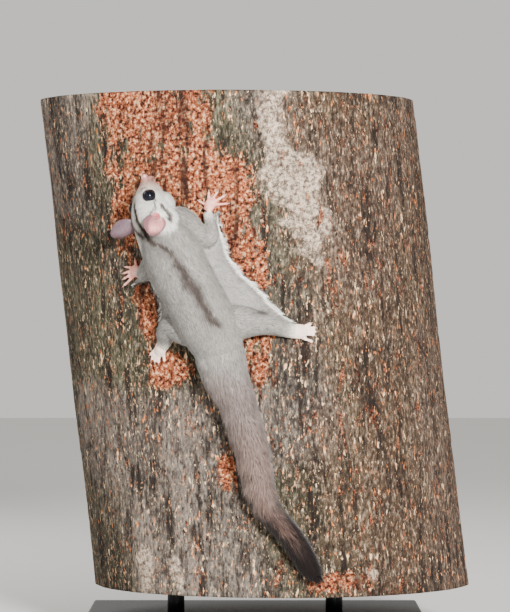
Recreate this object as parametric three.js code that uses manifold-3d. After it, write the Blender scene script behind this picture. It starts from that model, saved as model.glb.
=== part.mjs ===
// A life-size sugar glider, still, clinging head up to a short cut length of leaning tree trunk.
// The trunk stands on a plain display stand of a flat base and two short rods.
// Millimetres, +Z up. The origin is on the floor under the middle of the base, and the glider is on
// the -Y side of the trunk, so that a viewer who looks along +Y sees its back.
//
// A place on the glider is given as x, z and lift: lift is the height above the bark, measured
// straight out from the trunk's axis.

import * as THREE from "three";
import Module from "manifold-3d";

const wasm = await Module();
wasm.setup();

// Driving dimensions
const gap = 0.3; // between nodes that touch
const trunk = { radius: 178, bottom: 44, top: 500, lean: 0.1144, midX: -4.7, midZ: 306 };
const bark = { sides: 54, rings: 9, depth: 2.4 };
const base = { length: 320, width: 300, thick: 14, bevel: 2.5 };
const rod = { radius: 8, spacing: 150, sides: 24 };
const eye = { radius: 5.8, row: 5.05, lateral: 11.9, dorsal: 9.6, lidRadius: 0.9, sides: 14 };
const ear = { length: 24, width: 20, cup: 5.5, thick: 0.9 };
const claw = { length: 3.6, radius: 0.75 };
const sheetThick = 2.4; // the gliding membrane with its fur

const colours = {
  fur: 0xa3a09b,
  tailFur: 0x94857f,
  skin: 0xe3bdb0,
  eye: 0x0a0a0d,
  bark: 0x6a5d4d,
  stand: 0x1d1d1f,
};

// The body from nose to rump. Each row is x, z, lift, half width across the animal, half height
// from back to belly, and how far the back is turned towards -X, in degrees.
const spine = [
  [-98.6, 422.0, 12.0, 2.8, 2.6, 27],
  [-98.0, 419.6, 12.6, 4.8, 4.6, 27],
  [-96.6, 415.4, 13.8, 7.2, 7.8, 27],
  [-95.2, 410.4, 15.6, 10.4, 11.6, 27],
  [-94.3, 404.6, 17.8, 13.6, 14.8, 27],
  [-93.0, 398.0, 20.6, 17.4, 18.4, 27],
  [-91.2, 390.6, 23.0, 19.8, 20.6, 27],
  [-88.8, 382.2, 24.8, 21.4, 21.4, 24],
  [-84.8, 372.8, 25.6, 23.8, 21.2, 17],
  [-79.4, 362.4, 25.0, 26.0, 20.6, 9],
  [-73.4, 351.0, 24.0, 28.0, 20.6, 3],
  [-66.8, 337.0, 23.4, 28.0, 20.8, 0],
  [-58.2, 321.0, 23.2, 27.4, 21.2, 0],
  [-50.0, 305.0, 23.2, 27.8, 21.2, 0],
  [-42.4, 290.0, 22.4, 27.2, 20.4, 0],
  [-36.2, 277.0, 20.6, 25.0, 18.6, 0],
  [-31.6, 266.0, 18.8, 22.0, 16.6, 0],
  [-28.6, 258.0, 17.6, 17.0, 13.6, 0],
];
const headEnd = 8.2; // where the head meets the neck, as a row of the spine
const neckEnd = 10.1;

// The tail's long fur: flat, tapered locks on a core, with their tips at the tail's full size.
const lock = { count: 86, length: [31, 21], widthShare: 0.8, thick: 2.6, coreShare: 0.56, start: 0, end: 8 };

// The tail, out to the tips of its fur, in the same form.
const tail = [
  [-42.4, 294.0, 17.2, 22.0, 15.0, 0],
  [-34.0, 271.0, 18.8, 23.6, 17.4, 0],
  [-27.4, 247.3, 18.0, 22.8, 16.8, 0],
  [-18.5, 226.0, 17.6, 19.8, 16.4, 0],
  [-11.1, 204.8, 17.2, 17.8, 16.0, 0],
  [-2.9, 176.4, 16.4, 16.4, 15.2, 0],
  [3.0, 148.0, 15.4, 14.6, 14.0, 0],
  [8.6, 131.5, 14.2, 12.8, 12.6, 0],
  [17.2, 118.2, 13.0, 11.6, 11.4, 0],
  [27.6, 105.5, 12.0, 11.0, 10.8, 0],
  [37.6, 91.2, 11.2, 11.0, 10.4, 0],
  [46.1, 77.1, 10.2, 10.0, 9.4, 0],
  [52.8, 67.2, 8.6, 5.4, 5.4, 0],
];

// Each limb from inside the body to the wrist or ankle.
const limbs = {
  foreleg_right: [
    [-84, 388, 22, 11, 11, 0],
    [-67, 380, 16, 15, 14, 0],
    [-55, 371, 11.4, 13.5, 10.4, 0],
    [-44, 366.5, 8.6, 10.5, 7.4, 0],
    [-39.5, 373, 7.6, 7.6, 6.6, 0],
    [-41, 381.5, 5.8, 5.4, 5, 0],
    [-42.6, 389.4, 4.4, 4.4, 3.6, 0],
  ],
  foreleg_left: [
    [-82, 352, 20, 13, 12, 0],
    [-91, 345, 18, 11, 10, 0],
    [-97, 338, 14, 9, 8, 0],
    [-100, 335, 10, 7, 6.5, 0],
    [-103.5, 336.5, 5.4, 5, 4.4, 0],
  ],
  hindleg_right: [
    [-34, 291, 18, 18, 15, 0],
    [-20, 291, 16, 17.5, 14, 0],
    [-6, 291.5, 13, 14.5, 12, 0],
    [6, 290.5, 10.6, 11.4, 9.6, 0],
    [17, 288, 8, 9, 7.4, 0],
    [28, 285, 5.6, 7.6, 5, 0],
    [35, 283.4, 4.2, 7, 3.8, 0],
  ],
  hindleg_left: [
    [-50, 286, 17, 17, 14, 0],
    [-62, 286, 16, 16, 13, 0],
    [-73, 287, 13.6, 12.6, 11.6, 0],
    [-79, 282, 10.4, 10.4, 9.2, 0],
    [-81.4, 275.4, 7, 8, 6.4, 0],
    [-83.4, 270, 4.8, 6.2, 4.4, 0],
  ],
};

// Each paw: its palm rows in the same form, and for each digit where it leaves the palm and where
// its pad ends, both as x, z. The first digit is the thumb or the clawless first toe.
const paws = {
  hand_right: {
    palm: [
      [-42.4, 391, 4, 3.6, 3, 0],
      [-40.6, 396, 3.6, 4.8, 2.9, 0],
      [-38.6, 400, 3.2, 4.6, 2.5, 0],
      [-37.4, 402.4, 2.8, 2.8, 1.8, 0],
    ],
    digits: [
      [-43.8, 396.6, -50.4, 400.2],
      [-41.6, 400.4, -41.4, 408.4],
      [-38.6, 401.4, -33.6, 408.4],
      [-36, 399.6, -26.6, 405.4],
      [-36, 396.6, -24.4, 397.8],
    ],
    radius: 1.25,
    claws: [0, 1, 2, 3, 4],
  },
  hand_left: {
    palm: [
      [-104.6, 337.2, 4.6, 4, 3.2, 0],
      [-107.4, 338, 3.8, 5.2, 3, 0],
      [-110, 337, 3.2, 5, 2.5, 0],
      [-111.6, 336.6, 2.8, 3.2, 1.8, 0],
    ],
    digits: [
      [-107.4, 341.4, -108.4, 348],
      [-110.2, 340.6, -117.2, 341.4],
      [-111.6, 338, -119, 335.6],
      [-111.2, 335.2, -119.2, 330.6],
      [-109.6, 332.8, -119, 324.6],
    ],
    radius: 1.25,
    claws: [0, 1, 2, 3, 4],
  },
  foot_right: {
    palm: [
      [33, 284, 4.4, 6, 3.6, 0],
      [38, 283.2, 3.9, 6.8, 3.2, 0],
      [43, 283.2, 3.3, 6.2, 2.6, 0],
      [46, 284, 2.9, 3.6, 1.9, 0],
    ],
    digits: [
      [40, 278.4, 52, 273.8],
      [44.6, 281.4, 53.4, 279.8],
      [45.2, 283.2, 54.6, 282.8],
      [45, 285.4, 54.2, 286.6],
      [43.4, 287.2, 50.2, 290.4],
    ],
    radius: 1.5,
    claws: [1, 2, 3, 4],
  },
  foot_left: {
    palm: [
      [-82.8, 272, 4.8, 5.2, 3.8, 0],
      [-84.8, 268, 4.2, 6, 3.4, 0],
      [-86.6, 264.4, 3.5, 5.6, 2.7, 0],
      [-87.6, 262, 3, 3.4, 1.9, 0],
    ],
    digits: [
      [-82.6, 266.4, -81.6, 255.8],
      [-86.4, 263, -87, 254.6],
      [-88, 263.4, -90.4, 255.4],
      [-89.4, 264.6, -93.4, 257.6],
      [-89.6, 267.2, -94.6, 262],
    ],
    radius: 1.5,
    claws: [1, 2, 3, 4],
  },
};

// The gliding membranes. Each row runs from the fore paw back to the ankle and holds the x, z and
// lift of the root, inside the body, and of the free edge.
const membranes = {
  membrane_right: [
    [-37, 389, 4.6, -30.5, 394, 3.4],
    [-40, 382, 6, -32.4, 387, 3.6],
    [-44, 372, 11, -31.6, 378, 4.6],
    [-50, 361, 13, -27.6, 366.5, 5.4],
    [-50, 350, 14, -24.4, 354, 6],
    [-46, 339, 14, -19, 344.6, 6.2],
    [-40, 329, 13.5, -11.4, 335, 6],
    [-33, 318, 12, -1.6, 326.8, 5.2],
    [-24, 308, 11, 7.4, 318, 4.8],
    [-12, 299, 10, 14.4, 308, 4.4],
    [2, 293, 8, 21.4, 301, 3.8],
    [16, 289, 6, 29, 295.4, 3.2],
    [26, 287, 4.6, 35, 291.4, 2.8],
  ],
  membrane_left: [
    [-104, 334.6, 5, -114, 323.4, 2.6],
    [-101, 334, 6.6, -107.4, 325.4, 3],
    [-94, 336, 10, -101.4, 327.6, 4],
    [-84, 334, 12, -95.6, 327.6, 5.2],
    [-80, 326, 13, -92.2, 322, 5.8],
    [-76, 318, 13, -89.4, 316.6, 6],
    [-73, 310, 13, -86.6, 310, 6],
    [-72, 300, 12, -85.6, 301.6, 5.4],
    [-74, 291, 10, -86.2, 291.6, 4.4],
    [-78, 282, 8, -87.4, 281.6, 3.6],
    [-81.6, 275, 6, -88, 274.6, 3],
  ],
};

// The ears: the row of the spine and the angle from the middle of the back where each is rooted,
// which way it points and which way its cup opens, in the part's own directions.
const ears = {
  ear_right: { row: 7.2, angle: 48, along: [-0.12, -0.62, -0.78], open: [0.1, -0.75, 0.6] },
  ear_left: { row: 6.7, angle: -54, along: [-0.88, 0.1, -0.46], open: [-0.3, 0.8, 0.52] },
};

// Small helpers
const vec = (...v) => new THREE.Vector3(...v);
const radians = (degrees) => (degrees * Math.PI) / 180;
const trunkCentreX = (z) => trunk.midX - trunk.lean * (z - trunk.midZ);

function outward(point) {
  return vec(point.x - trunkCentreX(point.z), point.y, 0).normalize();
}

// The point above the bark at x, z and lift, on the glider's side of the trunk.
function overBark(x, z, lift) {
  const reach = trunk.radius + lift;
  return vec(x, -Math.sqrt(reach ** 2 - (x - trunkCentreX(z)) ** 2), z);
}

// Uniform Catmull-Rom through the rows, one value for each column, at a fractional row.
function between(rows, at) {
  const i = Math.min(Math.max(Math.floor(at), 0), rows.length - 2);
  const f = at - i;
  const row = (k) => rows[Math.min(Math.max(k, 0), rows.length - 1)];
  return rows[i].map((_, c) => {
    const [a, b, d, e] = [row(i - 1)[c], row(i)[c], row(i + 1)[c], row(i + 2)[c]];
    return b + 0.5 * f * (d - a + f * (2 * a - 5 * b + 4 * d - e + f * (3 * (b - d) + e - a)));
  });
}

// Where a body, limb or tail is at a fractional row: its middle, its way back, right and up, and
// its half sizes, which grow adds to.
function station(rows, at, grow = 0) {
  const middle = (t) => overBark(...between(rows, t).slice(0, 3));
  const [, , , wide, high, turn] = between(rows, at);
  const step = 0.05;
  const back = middle(at + step).sub(middle(at - step)).normalize();
  const centre = middle(at);
  const out = outward(centre);
  const up = out.sub(back.clone().multiplyScalar(out.dot(back))).normalize();
  const right = up.clone().cross(back);
  const [c, s] = [Math.cos(radians(turn)), Math.sin(radians(turn))];
  return {
    centre,
    back,
    right: right.clone().multiplyScalar(c).addScaledVector(up, s),
    up: up.multiplyScalar(c).addScaledVector(right, -s),
    wide: wide + grow,
    high: high + grow,
  };
}

// A closed surface as a manifold solid, turned to face out.
function solid(points, faces) {
  const vertProperties = new Float32Array(points.flatMap((p) => [p.x, p.y, p.z]));
  const make = (list) =>
    new wasm.Manifold(new wasm.Mesh({ numProp: 3, vertProperties, triVerts: new Uint32Array(list.flat()) }));
  const made = make(faces);
  return made.volume() > 0 ? made : make(faces.map(([a, b, c]) => [a, c, b]));
}

// Rings of points joined into a closed skin, with a flat fan at each end.
function skin(rings) {
  const sides = rings[0].length;
  const points = rings.flat();
  const faces = [];
  for (let i = 0; i + 1 < rings.length; i++)
    for (let j = 0; j < sides; j++) {
      const [a, b] = [i * sides + j, i * sides + ((j + 1) % sides)];
      faces.push([a, b, b + sides], [a, b + sides, a + sides]);
    }
  [0, rings.length - 1].forEach((i) => {
    const middle = rings[i].reduce((sum, p) => sum.add(p), vec()).divideScalar(sides);
    const hub = points.push(middle) - 1;
    for (let j = 0; j < sides; j++) {
      const [a, b] = [i * sides + j, i * sides + ((j + 1) % sides)];
      faces.push(i ? [a, b, hub] : [b, a, hub]);
    }
  });
  return solid(points, faces);
}

// An elliptical body carried along its rows, from one row to another.
function loft(rows, { sides = 14, steps = 12, from = 0, to = rows.length - 1, grow = 0 } = {}) {
  const rings = [];
  for (let i = 0; i <= steps; i++) {
    const s = station(rows, from + ((to - from) * i) / steps, grow);
    rings.push(
      Array.from({ length: sides }, (_, j) => {
        const a = (2 * Math.PI * (j + 0.5)) / sides;
        return s.centre
          .clone()
          .addScaledVector(s.right, s.wide * Math.cos(a))
          .addScaledVector(s.up, s.high * Math.sin(a));
      }),
    );
  }
  return skin(rings);
}

// A round tube through plain points with a radius at each.
function tube(points, radii, sides) {
  const rings = points.map((p, i) => {
    const ahead = points[Math.min(i + 1, points.length - 1)];
    const way = ahead.clone().sub(points[Math.max(i - 1, 0)]).normalize();
    const across = way.clone().cross(vec(0.31, 0.52, 0.8)).normalize();
    const other = way.clone().cross(across);
    return Array.from({ length: sides }, (_, j) => {
      const a = (2 * Math.PI * j) / sides;
      return p
        .clone()
        .addScaledVector(across, radii[i] * Math.cos(a))
        .addScaledVector(other, radii[i] * Math.sin(a));
    });
  });
  return skin(rings);
}

function ball(centre, radius, sides) {
  const geometry = new THREE.SphereGeometry(radius, sides, Math.round(sides * 0.6));
  geometry.translate(centre.x, centre.y, centre.z);
  return fromGeometry(geometry);
}

// A three.js geometry whose doubled vertices are merged by place, as a solid.
function fromGeometry(geometry) {
  const flat = geometry.index ? geometry.toNonIndexed() : geometry;
  const { array } = flat.getAttribute("position");
  const seen = new Map();
  const points = [];
  const ids = [];
  for (let i = 0; i < array.length; i += 3) {
    const key = [0, 1, 2].map((k) => Math.round(array[i + k] * 1e4)).join();
    if (!seen.has(key)) seen.set(key, points.push(vec(array[i], array[i + 1], array[i + 2])) - 1);
    ids.push(seen.get(key));
  }
  const faces = [];
  for (let i = 0; i < ids.length; i += 3) {
    const [a, b, c] = ids.slice(i, i + 3);
    if (a !== b && b !== c && a !== c) faces.push([a, b, c]);
  }
  return solid(points, faces);
}

// A thin curved sheet with both faces split alike. at(u, v) gives its middle, its normal and its
// thickness there.
function sheet(at, across, along) {
  const points = [];
  const faces = [];
  const id = (side, i, j) => side * (across + 1) * (along + 1) + i * (along + 1) + j;
  [0.5, -0.5].forEach((half) => {
    for (let i = 0; i <= across; i++)
      for (let j = 0; j <= along; j++) {
        const { point, normal, thick } = at(i / across, j / along);
        points.push(point.clone().addScaledVector(normal, half * thick));
      }
  });
  for (let i = 0; i < across; i++)
    for (let j = 0; j < along; j++) {
      const top = [id(0, i, j), id(0, i + 1, j), id(0, i + 1, j + 1), id(0, i, j + 1)];
      const low = [id(1, i, j), id(1, i + 1, j), id(1, i + 1, j + 1), id(1, i, j + 1)];
      faces.push([top[0], top[1], top[2]], [top[0], top[2], top[3]]);
      faces.push([low[0], low[2], low[1]], [low[0], low[3], low[2]]);
    }
  const rim = [];
  for (let j = 0; j < along; j++) rim.push([0, j]);
  for (let i = 0; i < across; i++) rim.push([i, along]);
  for (let j = along; j > 0; j--) rim.push([across, j]);
  for (let i = across; i > 0; i--) rim.push([i, 0]);
  rim.forEach(([i, j], k) => {
    const [p, q] = rim[(k + 1) % rim.length];
    faces.push([id(0, i, j), id(0, p, q), id(1, p, q)], [id(0, i, j), id(1, p, q), id(1, i, j)]);
  });
  return solid(points, faces);
}

const joined = (list) => list.reduce((a, b) => a.add(b));

function largest(made) {
  return made.decompose().sort((a, b) => b.volume() - a.volume())[0];
}

// A place in the head's own directions, measured from the spine at a row.
function inHead(row, lateral, dorsal, forward = 0) {
  const s = station(spine, row);
  return s.centre
    .clone()
    .addScaledVector(s.right, lateral)
    .addScaledVector(s.up, dorsal)
    .addScaledVector(s.back, -forward);
}

// A place on the head's skin: a row, the angle from the middle of the back, and how far above it.
function onHead(row, angle, above) {
  const s = station(spine, row, above);
  return s.centre
    .clone()
    .addScaledVector(s.right, s.wide * Math.sin(radians(angle)))
    .addScaledVector(s.up, s.high * Math.cos(radians(angle)));
}

const eyeCentre = (side) => inHead(eye.row, side * eye.lateral, eye.dorsal);

// A ring of the lid's flesh round the eye, where the ball leaves the head.
function lid(side) {
  const centre = eyeCentre(side);
  const out = centre.clone().sub(inHead(eye.row, 0, 0)).normalize();
  const reach = 2.2;
  const ring = Math.sqrt(eye.radius ** 2 - reach ** 2) + 0.3;
  const geometry = new THREE.TorusGeometry(ring, eye.lidRadius, 5, 16);
  geometry.applyQuaternion(new THREE.Quaternion().setFromUnitVectors(vec(0, 0, 1), out));
  const middle = centre.addScaledVector(out, reach);
  geometry.translate(middle.x, middle.y, middle.z);
  return fromGeometry(geometry);
}

// Points along the mouth, from under the nose back to its corner, on one side.
function mouthLine(side, above) {
  const corner = { row: 3.6, angle: 122 };
  const start = { row: 0.75, angle: 172 };
  return Array.from({ length: 7 }, (_, i) => {
    const f = i / 6;
    const row = start.row + (corner.row - start.row) * f;
    return onHead(row, side * (start.angle + (corner.angle - start.angle) * Math.sqrt(f)), above);
  });
}

function head() {
  const shape = loft(spine, { sides: 22, steps: 18, to: headEnd });
  const flesh = [shape];
  const cuts = [];
  [1, -1].forEach((side) => {
    flesh.push(lid(side));
    flesh.push(tube(mouthLine(side, 0), [0.7, 0.9, 1, 1, 1, 0.9, 0.6], 6));
    flesh.push(tube([inHead(0.5, side * 1.2, 0.6), inHead(0, side * 1.5, 0.5, 1.3)], [2.2, 1.5], 10));
    cuts.push(tube(mouthLine(side, 0.9), [0.6, 0.6, 0.6, 0.6, 0.6, 0.6, 0.5], 4));
    cuts.push(ball(inHead(0, side * 2.0, 0.2, 1.3), 0.75, 8));
    cuts.push(ball(eyeCentre(side), eye.radius + gap, eye.sides));
  });
  return largest(joined(flesh).subtract(joined(cuts)));
}

// An ear: a cupped oval sheet on a short stalk, thinner to its rim.
function earSheet({ row, angle, along, open }) {
  const root = onHead(row, angle, -1.5);
  const way = vec(...along).normalize();
  const facing = vec(...open);
  facing.addScaledVector(way, -facing.dot(way)).normalize();
  const across = way.clone().cross(facing);
  const place = (u, v) => {
    const side = 2 * u - 1;
    const outline = Math.sin(Math.PI * (0.13 + 0.83 * v)) ** 0.62;
    const half = (ear.width / 2) * outline;
    const cup = ear.cup * (0.35 + 0.65 * Math.sin(Math.PI * (0.1 + 0.75 * v)));
    return root
      .clone()
      .addScaledVector(way, ear.length * v - 1)
      .addScaledVector(across, half * side)
      .addScaledVector(facing, cup * (side ** 2 * outline - 0.5) + 2.4 * v ** 2);
  };
  return sheet(
    (u, v) => {
      const d = 0.01;
      const du = place(u + d, v).sub(place(u - d, v));
      const dv = place(u, v + d).sub(place(u, v - d));
      const thick = ear.thick * (1.5 - 0.7 * v);
      return { point: place(u, v), normal: du.cross(dv).normalize(), thick };
    },
    10,
    7,
  );
}

function paw({ palm, digits, radius, claws }) {
  const pieces = [loft(palm, { sides: 10, steps: 4 })];
  digits.forEach(([x0, z0, x1, z1], i) => {
    const along = (f, lift) => overBark(x0 + (x1 - x0) * f, z0 + (z1 - z0) * f, lift + gap);
    const lifts = [2.2, 2.7, 1.9, 1.5];
    const sizes = [1.15, 1, 1.05, 0.75].map((k) => k * radius);
    const points = [-0.12, 0.4, 0.8, 1].map((f, k) => along(f, lifts[k]));
    pieces.push(tube(points, sizes, 5));
    if (!claws.includes(i)) return;
    const reach = claw.length / Math.hypot(x1 - x0, z1 - z0);
    const places = [0.9, 1 + reach * 0.35, 1 + reach * 0.8, 1 + reach];
    const hook = places.map((f, j) => along(f, [2.3, 2.2, 1.2, 0.35][j]));
    pieces.push(tube(hook, [1, 0.9, 0.55, 0.22].map((k) => k * claw.radius), 4));
  });
  return joined(pieces);
}

// How far along the tail each tenth of a row is, in millimetres.
const tailWay = [0];
for (let i = 1; i <= 10 * (tail.length - 1); i++) {
  const step = station(tail, i / 10).centre.distanceTo(station(tail, (i - 1) / 10).centre);
  tailWay.push(tailWay[i - 1] + step);
}

function tailRow(way) {
  const i = Math.min(Math.max(tailWay.findIndex((w) => w > way) - 1, 0), tailWay.length - 2);
  const k = way >= tailWay[tailWay.length - 1] ? tailWay.length - 2 : i;
  return (k + (way - tailWay[k]) / (tailWay[k + 1] - tailWay[k])) / 10;
}

// One lock of the tail: k is its place among them all, going round the tail and down it.
function tailLock(k) {
  const { count, length, widthShare, thick, coreShare, start, end } = lock;
  const f = (k + 0.5) / count;
  const vary = Math.sin(k * 12.9898) * Math.cos(k * 4.1414);
  const full = tailWay[tailWay.length - 1];
  const root = start + (full - end - start) * f;
  const reach = (length[0] + (length[1] - length[0]) * f) * (1 + 0.15 * vary);
  const share = [coreShare * 0.55, coreShare + 0.18, 0.94, 1 + 0.03 * vary];
  const wide = [0.5, 1, 0.8, 0.06];
  const middle = station(tail, tailRow(Math.min(root + reach / 2, full)));
  const width = widthShare * Math.max(middle.wide, 7);
  const rings = [0, 0.34, 0.7, 1].map((along, i) => {
    const s = station(tail, tailRow(Math.min(root + (along - 0.2) * reach, full + 1 + 2 * vary)));
    const turn = k * 2.39996 + 0.18 * vary * along;
    const [c, d] = [Math.cos(turn), Math.sin(turn)];
    const centre = s.centre
      .clone()
      .addScaledVector(s.right, s.wide * share[i] * c)
      .addScaledVector(s.up, s.high * share[i] * d);
    const out = s.right.clone().multiplyScalar(c).addScaledVector(s.up, d);
    const across = s.right.clone().multiplyScalar(-d).addScaledVector(s.up, c);
    const half = (width / 2) * wide[i];
    const deep = (thick / 2) * (1 - 0.75 * along);
    return [
      centre.clone().addScaledVector(across, half),
      centre.clone().addScaledVector(out, deep),
      centre.clone().addScaledVector(across, -half),
      centre.clone().addScaledVector(out, -deep),
    ];
  });
  return skin(rings);
}

function tailShape() {
  const core = tail.map((r) => [r[0], r[1], r[2], r[3] * lock.coreShare, r[4] * lock.coreShare, 0]);
  const pieces = [loft(core, { sides: 12, steps: 14, to: 11.7 })];
  for (let k = 0; k < lock.count; k++) pieces.push(tailLock(k));
  return joined(pieces);
}

function membrane(rows) {
  return sheet(
    (u, v) => {
      const [x0, z0, lift0, x1, z1, lift1] = between(rows, v * (rows.length - 1));
      const sag = 1.6 * Math.sin(Math.PI * u);
      const point = overBark(x0 + (x1 - x0) * u, z0 + (z1 - z0) * u, lift0 + (lift1 - lift0) * u - sag);
      return { point, normal: outward(point), thick: sheetThick * (1 - 0.35 * u) };
    },
    4,
    16,
  );
}

// Bark relief, only ever inwards, so that the trunk stays within its radius; it fades where the
// paws hold the trunk.
function barkDepth(angle, z) {
  const hold = Object.values(paws).map(({ palm }) => {
    const [x, height] = palm[2];
    const across = trunk.radius * (angle + Math.PI / 2 - 2 * Math.PI) - (x - trunkCentreX(height));
    return Math.hypot(across, z - height);
  });
  const near = Math.min(Math.max((Math.min(...hold) - 22) / 20, 0), 1);
  const ridges = Math.sin(13 * angle + 1.5 * Math.sin(z / 60)) * Math.sin(7 * angle - z / 47 + 1);
  const plates = Math.sin(5 * angle + 2 * Math.sin(z / 90 + 2) + 0.7);
  return near * bark.depth * (0.5 - 0.32 * ridges - 0.18 * plates);
}

function trunkPiece() {
  const rings = [];
  for (let i = 0; i <= bark.rings; i++) {
    const z = trunk.bottom + ((trunk.top - trunk.bottom) * i) / bark.rings;
    rings.push(
      Array.from({ length: bark.sides }, (_, j) => {
        const a = (2 * Math.PI * j) / bark.sides;
        const r = trunk.radius - barkDepth(a, z);
        return vec(trunkCentreX(z) + r * Math.cos(a), r * Math.sin(a), z);
      }),
    );
  }
  return skin(rings);
}

function standBase() {
  const { length, width, thick, bevel } = base;
  const outline = new THREE.Shape();
  const [x, y] = [length / 2 - bevel, width / 2 - bevel];
  outline.moveTo(-x, -y).lineTo(x, -y).lineTo(x, y).lineTo(-x, y).closePath();
  const geometry = new THREE.ExtrudeGeometry(outline, {
    depth: thick - bevel,
    bevelEnabled: true,
    bevelThickness: bevel,
    bevelSize: bevel,
    bevelSegments: 2,
  });
  geometry.translate(0, 0, bevel);
  const cutTop = new THREE.BoxGeometry(length * 2, width * 2, 40);
  cutTop.translate(0, 0, thick + 20);
  return fromGeometry(geometry).subtract(fromGeometry(cutTop));
}

function standRod(x) {
  const low = base.thick + gap;
  const high = trunk.bottom - gap;
  const geometry = new THREE.CylinderGeometry(rod.radius, rod.radius, high - low, rod.sides);
  geometry.rotateX(Math.PI / 2);
  geometry.translate(x, 0, (low + high) / 2);
  return fromGeometry(geometry);
}

// The glider's nodes, each cut back from what it grows from.
const grownBody = loft(spine, { sides: 22, steps: 36, grow: gap });
const headNode = head();
const nodes = {
  head: [headNode, "fur"],
  neck: [loft(spine, { sides: 22, steps: 4, from: headEnd + 0.035, to: neckEnd }), "fur"],
  torso: [loft(spine, { sides: 22, steps: 13, from: neckEnd + 0.03 }), "fur"],
};
[1, -1].forEach((side) => {
  const name = side > 0 ? "eye_right" : "eye_left";
  nodes[name] = [ball(eyeCentre(side), eye.radius, eye.sides), "eye"];
});
Object.entries(ears).forEach(([name, values]) => {
  nodes[name] = [largest(earSheet(values).subtract(grownBody)), "skin"];
});
const grownLimbs = {};
Object.entries(limbs).forEach(([name, rows]) => {
  nodes[name] = [largest(loft(rows, { sides: 14, steps: 9 }).subtract(grownBody)), "fur"];
  grownLimbs[name] = loft(rows, { sides: 14, steps: 9, grow: gap });
});
const tailParent = joined([grownBody, ...Object.values(grownLimbs)]);
nodes.tail = [largest(tailShape().subtract(tailParent)), "tailFur"];
Object.entries(paws).forEach(([name, values]) => {
  const limb = name.replace("hand", "foreleg").replace("foot", "hindleg");
  nodes[name] = [largest(paw(values).subtract(grownLimbs[limb])), "skin"];
  grownLimbs[name] = paw(values);
});
Object.entries(membranes).forEach(([name, rows]) => {
  const kept = joined([grownBody, ...Object.values(grownLimbs)]);
  nodes[name] = [largest(membrane(rows).subtract(kept)), "fur"];
});
nodes.perch_trunk = [trunkPiece(), "bark"];
nodes.stand_base = [standBase(), "stand"];
nodes.stand_rod_left = [standRod(-rod.spacing / 2), "stand"];
nodes.stand_rod_right = [standRod(rod.spacing / 2), "stand"];

// The scene graph
const materials = Object.fromEntries(
  Object.entries(colours).map(([name, color]) => [
    name,
    new THREE.MeshStandardMaterial({ color, roughness: name === "eye" ? 0.1 : 0.85, metalness: 0 }),
  ]),
);
const group = new THREE.Group();
Object.entries(nodes).forEach(([name, [made, material]]) => {
  const { vertProperties, numProp, triVerts, numVert } = made.getMesh();
  const position = new Float32Array(numVert * 3);
  for (let i = 0; i < numVert; i++) {
    position.set(vertProperties.subarray(i * numProp, i * numProp + 3), i * 3);
  }
  const geometry = new THREE.BufferGeometry();
  geometry.setAttribute("position", new THREE.BufferAttribute(position, 3));
  geometry.setIndex(new THREE.BufferAttribute(triVerts, 1));
  geometry.computeVertexNormals();
  const mesh = new THREE.Mesh(geometry, materials[material]);
  mesh.name = name;
  group.add(mesh);
});

export default group;
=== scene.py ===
import math

import bpy
import numpy as np
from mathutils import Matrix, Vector, kdtree


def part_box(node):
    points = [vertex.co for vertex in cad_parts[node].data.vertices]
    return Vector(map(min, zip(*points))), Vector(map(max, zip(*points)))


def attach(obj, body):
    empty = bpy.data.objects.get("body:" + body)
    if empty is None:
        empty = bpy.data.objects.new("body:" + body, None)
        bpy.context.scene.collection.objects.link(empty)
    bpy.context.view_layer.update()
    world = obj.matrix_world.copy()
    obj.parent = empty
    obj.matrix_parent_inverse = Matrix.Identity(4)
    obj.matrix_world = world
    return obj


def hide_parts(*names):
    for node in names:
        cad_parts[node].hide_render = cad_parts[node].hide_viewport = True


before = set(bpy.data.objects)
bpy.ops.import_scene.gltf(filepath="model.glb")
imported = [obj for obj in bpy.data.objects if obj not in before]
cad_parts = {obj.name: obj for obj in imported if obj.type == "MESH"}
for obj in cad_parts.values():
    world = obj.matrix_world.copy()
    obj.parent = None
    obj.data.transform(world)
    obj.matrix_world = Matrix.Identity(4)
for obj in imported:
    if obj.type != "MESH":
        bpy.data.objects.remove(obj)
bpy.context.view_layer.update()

mm = 0.001


# shared sums: places on the glider are x, z and lift above the bark, in millimetres
trunk = {"radius": 178.0, "bottom": 44.0, "top": 500.0, "lean": 0.1144, "midX": -4.7, "midZ": 306.0}


# the trunk's axis leans towards -X by its lean for each millimetre of height
def trunkCentreX(z):
    return trunk["midX"] - trunk["lean"] * (z - trunk["midZ"])


# y = -sqrt((radius + lift)^2 - (x - centre)^2), the glider's side of the trunk
def overBark(x, z, lift):
    reach = trunk["radius"] + lift
    return np.stack([x, -np.sqrt(reach ** 2 - (x - trunkCentreX(z)) ** 2), z], -1)


# a full turn in n equal steps
def fullTurn(n):
    return 2 * np.pi * np.arange(n) / n


# a vector over its own length
def unit(v):
    return v / np.maximum(np.linalg.norm(v, axis=-1, keepdims=True), 1e-9)


# 0 below low to 1 above high, by 3f^2 - 2f^3 between
def smooth(low, high, v):
    f = np.clip((v - low) / (high - low), 0, 1)
    return f * f * (3 - 2 * f)


# the level way out from the trunk's axis
def outwardAt(p):
    out = p.copy()
    out[..., 0] -= trunkCentreX(p[..., 2])
    out[..., 2] = 0
    return unit(out)


# Catmull-Rom through the rows at fractional rows t
def between(rows, t):
    rows = np.asarray(rows, float)
    t = np.asarray(t, float)
    i = np.clip(np.floor(t).astype(int), 0, len(rows) - 2)
    f = (t - i)[..., None]
    a, b, d, e = [rows[np.clip(i + k, 0, len(rows) - 1)] for k in (-1, 0, 1, 2)]
    return b + 0.5 * f * (d - a + f * (2 * a - 5 * b + 4 * d - e + f * (3 * (b - d) + e - a)))


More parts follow.
